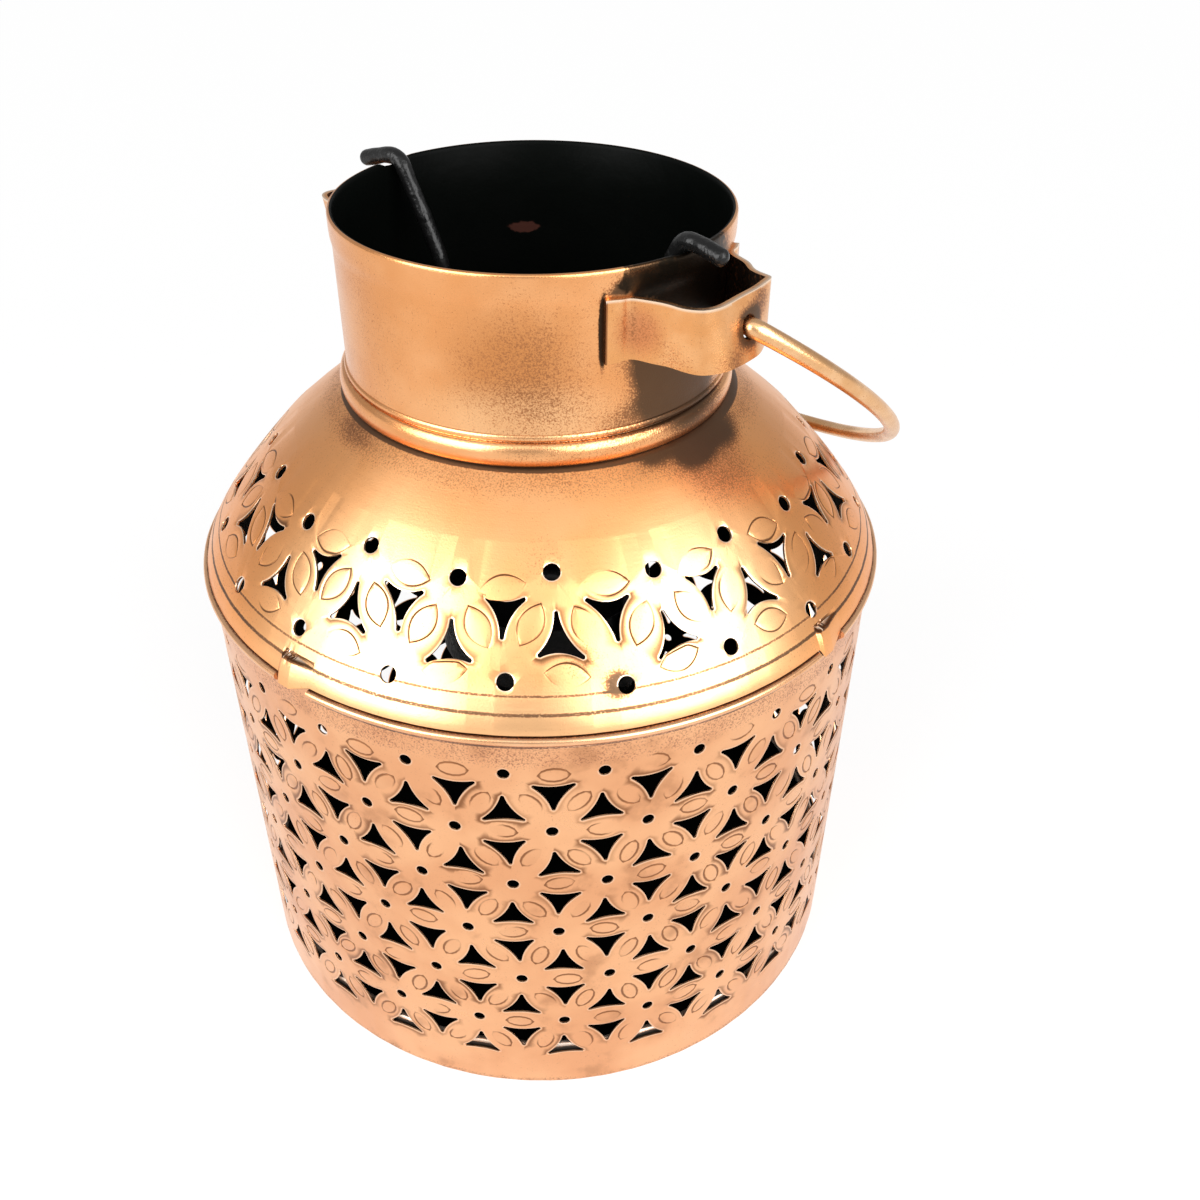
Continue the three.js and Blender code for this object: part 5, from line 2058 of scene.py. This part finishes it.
@dataclass
class Bail:
    """The bail: a round wire arc in a plane through both ear holes, with headed ends inside the ears."""

    wire: float = 2.7 * MM
    arc_radius: float = 53.2 * MM
    face: float = 42.1 * MM
    azimuths: tuple[float, float] = (45.0, -131.0)
    height: float = 139.85 * MM
    tilt: float = 37.57
    pin_out: float = 0.8 * MM
    bend_rise: float = 2.4 * MM
    ear_thickness: float = 0.9 * MM
    clearance: float = 0.3 * MM
    head: float = 5.2 * MM
    stout: float = 0.16
    head_thickness: float = 1.2 * MM
    head_bulge: float = 0.1 * MM
    stout_reach: float = 9 * MM

    BEND_POINTS = 9
    ARC_POINTS = 161
    HEAD_POINTS = 7
    HEAD_LEAST = 0.12
    SIDES = 20

    def build(self, finishes: Finishes) -> None:
        """Makes the bail: the pins, a short bend and the arc, then a flattened head on each end."""
        holes = polar(np.array(self.face), np.radians(np.array(self.azimuths)), np.array(self.height))
        middle = holes.mean(axis=0)
        reach = np.linalg.norm(holes[0] - holes[1]) / 2
        along = unit(holes[0] - holes[1])
        tilt = math.radians(self.tilt)
        away = np.array([-along[1], along[0], 0.0]) * math.cos(tilt) - UP * math.sin(tilt)

        pin = reach + self.pin_out
        head = reach - self.ear_thickness - self.clearance - self.head_thickness
        foot = pin + self.pin_out + self.wire / 8
        centre = math.sqrt(self.arc_radius**2 - foot**2)
        first = math.asin((self.bend_rise - centre) / self.arc_radius)
        bend_end = np.array([self.arc_radius * math.cos(first), self.bend_rise])
        corner = np.array([bend_end[0] + self.bend_rise * math.tan(first), 0.0])
        t = np.linspace(0, 1, self.BEND_POINTS)[:, None]
        bend = bow(np.array([pin, 0.0]), corner, bend_end, t)
        angle = np.linspace(first, math.pi - first, self.ARC_POINTS)[1:-1]
        arc = np.stack([self.arc_radius * np.cos(angle), centre + self.arc_radius * np.sin(angle)], axis=-1)
        half = np.vstack([[[head, 0.0]], [[(head + pin) / 2, 0.0]], bend])
        flat = np.vstack([half, arc, half[::-1] * np.array([-1.0, 1.0])])
        path = middle + flat[:, :1] * along + flat[:, 1:] * away

        swell = np.linspace(0, 1, self.HEAD_POINTS)
        back = head - self.head_bulge
        disc = np.concatenate([[back], head + self.head_thickness * swell, [head + self.head_thickness]])
        bulge = self.head / 2 * np.sqrt(np.clip(1 - (2 * swell - 1) ** 4, self.HEAD_LEAST, 1.0))
        radius = np.concatenate([[0.0], bulge, [self.wire / 2]])
        cap = middle + disc[:, None] * along
        other = middle - disc[:, None] * along
        path = np.vstack([cap, path[1:-1], other[::-1]])
        radii = np.concatenate([radius, np.full(len(path) - 2 * len(radius), self.wire / 2), radius[::-1]])
        beyond = np.abs((path - middle) @ along) - pin
        level = np.linalg.norm(path - middle, axis=1)
        near = np.exp(-np.abs(level - reach) / self.stout_reach)
        radii = radii * (1 + self.stout * (beyond > 0) * near)
        normal = np.broadcast_to(np.cross(along, away), path.shape)
        made = wire_tube("bail_wire", path, normal, radii, self.SIDES).make([finishes.wire])
        settle(made, Body.BAIL, Slot.GOLD_WIRE, "bail")


@dataclass
class Hanger:
    """The black wire hanger: a hook over the rim at each end, legs to the cup and a bar under it."""

    wire: float = 2.7 * MM
    lump: float = 0.025
    azimuths: tuple[float, float] = (43.0, -131.0)
    hooks: tuple[tuple[float, float, float], ...] = ((37.9, 0.8, 150.1), (39.2, 1.5, 149.6))
    root: float = 31.0 * MM
    leg: float = 22.15 * MM
    lean_drop: float = 17.0 * MM
    bar: float = 59.35 * MM
    cup_radius: float = 20.5 * MM
    cup_wall: float = 0.6 * MM
    cup_height: float = 16.0 * MM
    cup_round: float = 2.5 * MM
    cup_floor: float = 61.0 * MM
    hook_run: float = 3.0 * MM

    ROUNDING = (1.3, 1.65, 4.0, 3.2, 3.2, 3.2, 4.0, 1.65, 1.3)
    BEND_STEPS = 10
    PATH_POINTS = 420
    END_STEPS = 5
    SIDES = 16
    SWELL = 1.03
    LUMPS = ((0.9, 0.0), (0.37, 1.0))
    CUP_STEPS = 96

    def side(self, azimuth: float, tip: float, dip: float, hook: float) -> Array:
        """Corners of one side, from the hook's tip to the foot of its leg.

        Args:
            azimuth: Azimuth of the hook in degrees.
            tip: Radius of the tip in millimetres.
            dip: How far the tip hangs below the hook's back, in millimetres.
            hook: Height of the hook's back, in millimetres.

        Returns:
            Corners shaped (5, 3).
        """
        radius = np.array([tip * MM, self.root + self.hook_run, self.root, self.leg, self.leg])
        back = hook * MM
        height = np.array([back - dip * MM, back, back, back - self.lean_drop, self.bar])
        return polar(radius, np.radians(azimuth), height)

    def wire_piece(self) -> Piece:
        """The wire, a circle carried along a path with rounded corners.

        Returns:
            The wire's piece.
        """
        first, second = (self.side(a, *hook) for a, hook in zip(self.azimuths, self.hooks))
        corners = np.vstack([first, [[0.0, 0.0, self.bar]], second[::-1]])
        rounding = np.array(self.ROUNDING) * MM
        path = even_steps(rounded_path(corners, rounding, self.BEND_STEPS), self.PATH_POINTS)
        path, radii = with_round_ends(path, self.wire / 2, self.END_STEPS)
        radii = radii * (self.SWELL + self.lump * waves(np.arange(len(path)), self.LUMPS))
        share = np.linspace(0, 1, len(path))[:, None]
        turn = np.radians(np.array(self.azimuths))
        sides = np.stack([np.cos(turn), np.sin(turn), 0 * turn], axis=-1)
        normal = sides[0] * (1 - share) - sides[1] * share
        return wire_tube("hanger_wire", path, normal, radii, self.SIDES)

    def cup(self) -> Piece:
        """The candle cup, turned from its outline.

        Returns:
            The cup's piece.
        """
        swing = np.linspace(0, math.pi / 2, 7)
        across = self.cup_radius - self.cup_round * (1 - np.sin(swing))
        edge = np.stack([across, self.cup_floor + self.cup_round * (1 - np.cos(swing))], axis=-1)
        inner = edge[::-1] + np.array([-self.cup_wall, self.cup_wall])
        top = self.cup_floor + self.cup_height
        swing = np.linspace(0, math.pi, 7)
        half = self.cup_wall / 2
        across = self.cup_radius - half + half * np.cos(swing)
        lip = np.stack([across, top - half + half * np.sin(swing)], axis=-1)
        low, high = [[0.0, self.cup_floor]], [[0.0, self.cup_floor + self.cup_wall]]
        outline = np.vstack([low, edge, lip, inner, high])
        return lathe("candle_cup_pan", outline, np.zeros(len(outline), dtype=bool), self.CUP_STEPS)

    def build(self, finishes: Finishes) -> None:
        """Makes the wire and the cup."""
        settle(self.wire_piece().make([finishes.hanger]), Body.HANGER, Slot.BLACK_WIRE, "wire_hanger")
        settle(self.cup().make([finishes.hanger]), Body.HANGER, Slot.BLACK_CUP, "candle_cup")


@dataclass
class BasePan:
    """The pan that closes the drum from below, with a rounded edge and a rolled flange inside the wall."""

    radius: float = 60.0 * MM
    sheet: float = 0.7 * MM
    flange: float = 10.0 * MM
    roll: float = 1.3 * MM
    rounding: float = 0.6 * MM
    steps: int = 196

    BOTTOM = ((0.0, 0.0), (30.0, 0.0), (34.0, 0.25), (50.0, 0.25), (54.0, 0.0))

    def build(self, finishes: Finishes) -> None:
        """Makes the pan."""
        swing = np.linspace(0, math.pi / 2, 5)
        across = self.radius - self.rounding * (1 - np.sin(swing))
        edge = np.stack([across, self.rounding * (1 - np.cos(swing))], axis=-1)
        inside = self.radius - self.sheet
        swing = np.linspace(0, math.pi, 9)
        half = self.roll / 2
        across = self.radius - half * (1 - np.cos(swing))
        top = np.stack([across, self.flange - half * (1 - np.sin(swing))], axis=-1)
        back = [[inside, self.flange - self.roll], [inside, self.sheet], [0.0, self.sheet]]
        outline = np.vstack([np.array(self.BOTTOM) * MM, edge, top, back])
        painted = np.zeros(len(outline), dtype=bool)
        painted[-len(back) :] = True
        made = lathe("base_pan", outline, painted, self.steps).make([finishes.base, finishes.inside])
        settle(made, Body.LANTERN, Slot.COPPER_BASE, "base_disc")


def stand(name: str, data: bpy.types.ID, turn: tuple[Array, Array, Array], place: Place) -> bpy.types.Object:
    """Puts a lamp or a camera at a place.

    Args:
        name: Name of the object.
        data: The lamp or the camera.
        turn: Its directions to the right, up and back.
        place: Its place.

    Returns:
        The object.
    """
    made = bpy.data.objects.new(name, data)
    columns = np.column_stack([*turn, np.array(place)])
    made.matrix_world = Matrix(np.vstack([columns, [0, 0, 0, 1]]).tolist())
    bpy.context.scene.collection.objects.link(made)
    return made


@dataclass(frozen=True)
class Lamp:
    """A soft lamp that faces the shoulder's middle, with angles in degrees and power in watts."""

    name: str
    azimuth: float
    elevation: float
    distance: float
    size: Range
    power: float

    AIM = np.array([0.0, 0.0, 0.1])

    def hang(self) -> None:
        """Hangs the lamp."""
        data = bpy.data.lights.new(self.name, "AREA")
        data.shape = "RECTANGLE"
        data.size, data.size_y = self.size
        data.energy = self.power
        turn, rise = math.radians(self.azimuth), math.radians(self.elevation)
        level = math.cos(rise)
        back = np.array([level * math.sin(turn), -level * math.cos(turn), math.sin(rise)])
        right = unit(np.cross(UP, back))
        stand(self.name, data, (right, np.cross(back, right), back), self.AIM + back * self.distance)


@dataclass
class Studio:
    """A pale floor, soft lamps and the viewer's camera."""

    camera_place: Place = (0.0, -0.19445, 0.21092)
    yaw: float = 0.0559419
    pitch: float = 0.6291070
    roll: float = 0.0117537
    lens: float = 36.2932
    sensor: float = 36.0
    floor_half: float = 4.0
    floor_colour: Colour = (0.84, 0.84, 0.84)
    floor_white: float = 0.78
    far_white: float = 0.2
    far: Range = (0.15, 0.45)
    sky: float = 0.51
    lamps: tuple[Lamp, ...] = (
        Lamp("left_window", -52.5, 23.5, 1.0, (0.83, 0.80), 11.7),
        Lamp("right_window", 41.5, 24, 1.0, (0.91, 0.80), 12.8),
        Lamp("front_wall", -4, 48, 1.2, (0.85, 0.55), 0.65),
        Lamp("ceiling", 0, 62, 1.3, (2.4, 0.9), 3.5),
        Lamp("left_wall", -80, 40, 1.2, (0.73, 0.55), 0.7),
        Lamp("right_wall", 78, 38, 1.2, (0.73, 0.55), 0.75),
    )

    def camera(self) -> None:
        """Sets the camera by its yaw to the right, its pitch downwards and its roll."""
        level = math.cos(self.pitch)
        ahead = np.array([math.sin(self.yaw) * level, math.cos(self.yaw) * level, -math.sin(self.pitch)])
        right = unit(np.cross(ahead, UP))
        up = np.cross(right, ahead)
        across = math.cos(self.roll) * right + math.sin(self.roll) * up
        over = -math.sin(self.roll) * right + math.cos(self.roll) * up
        data = bpy.data.cameras.new("viewer")
        data.lens = self.lens
        data.sensor_width = self.sensor
        data.clip_start = 0.01
        bpy.context.scene.camera = stand("viewer", data, (across, over, -ahead), self.camera_place)

    def floor(self) -> None:
        """Lays the floor: seen directly or in metal it is mostly its own white, and it keeps the shadow."""
        h = self.floor_half
        mesh = bpy.data.meshes.new("floor")
        mesh.from_pydata([(-h, -h, 0), (h, -h, 0), (h, h, 0), (-h, h, 0)], [], [(0, 1, 2, 3)])
        made, graph = new_material("pale_floor")
        seen = self.seen(graph)
        dull = graph.link("ShaderNodeBsdfDiffuse", {}, {"Color": self.floor_colour}, "BSDF")
        glow = {"Color": (1.0, 1.0, 1.0), "Strength": 1.0}
        bright = graph.link("ShaderNodeEmission", {}, glow, "Emission")
        far = graph.ease(graph.away_from(graph.place(), (0.0, 0.0, 0.0)), *self.far)
        white = (self.floor_white + self.far_white * far) * seen
        surface = graph.link("ShaderNodeMixShader", {}, {0: white, 1: dull, 2: bright})
        graph.node("ShaderNodeOutputMaterial", {}, {"Surface": surface})
        mesh.materials.append(made)
        floor = bpy.data.objects.new("floor", mesh)
        bpy.context.scene.collection.objects.link(floor)

    @staticmethod
    def seen(graph: Graph) -> Link:
        """1 for rays that come from the camera, from metal or through glass."""
        paths = graph.node("ShaderNodeLightPath", {}, {})
        direct = Link(graph, paths.outputs["Is Camera Ray"])
        metal = Link(graph, paths.outputs["Is Glossy Ray"])
        glass = Link(graph, paths.outputs["Is Transmission Ray"])
        return direct.most(metal).most(glass)

    def world(self) -> None:
        """Sets an even pale room around the lantern."""
        world = bpy.data.worlds.new("room")
        bpy.context.scene.world = world
        world.use_nodes = True
        graph = Graph(world.node_tree)
        level = (self.sky, self.sky, self.sky)
        shade = graph.link("ShaderNodeBackground", {}, {"Color": level, "Strength": 1.0}, "Background")
        graph.node("ShaderNodeOutputWorld", {}, {"Surface": shade})

    def build(self) -> None:
        """Sets the whole studio."""
        bpy.context.scene.view_settings.view_transform = "Standard"
        self.camera()
        self.floor()
        self.world()
        for lamp in self.lamps:
            lamp.hang()


def main() -> None:
    """Builds the lantern piece by piece, then the studio."""
    logging.basicConfig(level=logging.INFO, format="%(message)s")
    finishes = Finishes()
    shoulder = Shoulder()
    Drum().build(finishes, np.radians(np.array(shoulder.stakes)), shoulder.notch)
    shoulder.build(finishes)
    Neck().build(finishes)
    Ear(
        name="ear_right",
        azimuth=45.0,
        mirrored=False,
        foot_radii=(33.72 * MM, 32.95 * MM),
        lean=1.95 * MM,
        tuck=0.0,
        top=144.6 * MM,
    ).build(finishes)
    Ear(
        name="ear_left",
        azimuth=-131.0,
        mirrored=True,
        foot_radii=(34.0 * MM, 34.0 * MM),
        lean=0.0,
        tuck=1.6 * MM,
        top=143.2 * MM,
    ).build(finishes)
    Bail().build(finishes)
    Hanger().build(finishes)
    BasePan().build(finishes)
    Studio().build()


if __name__ == "__main__":
    main()
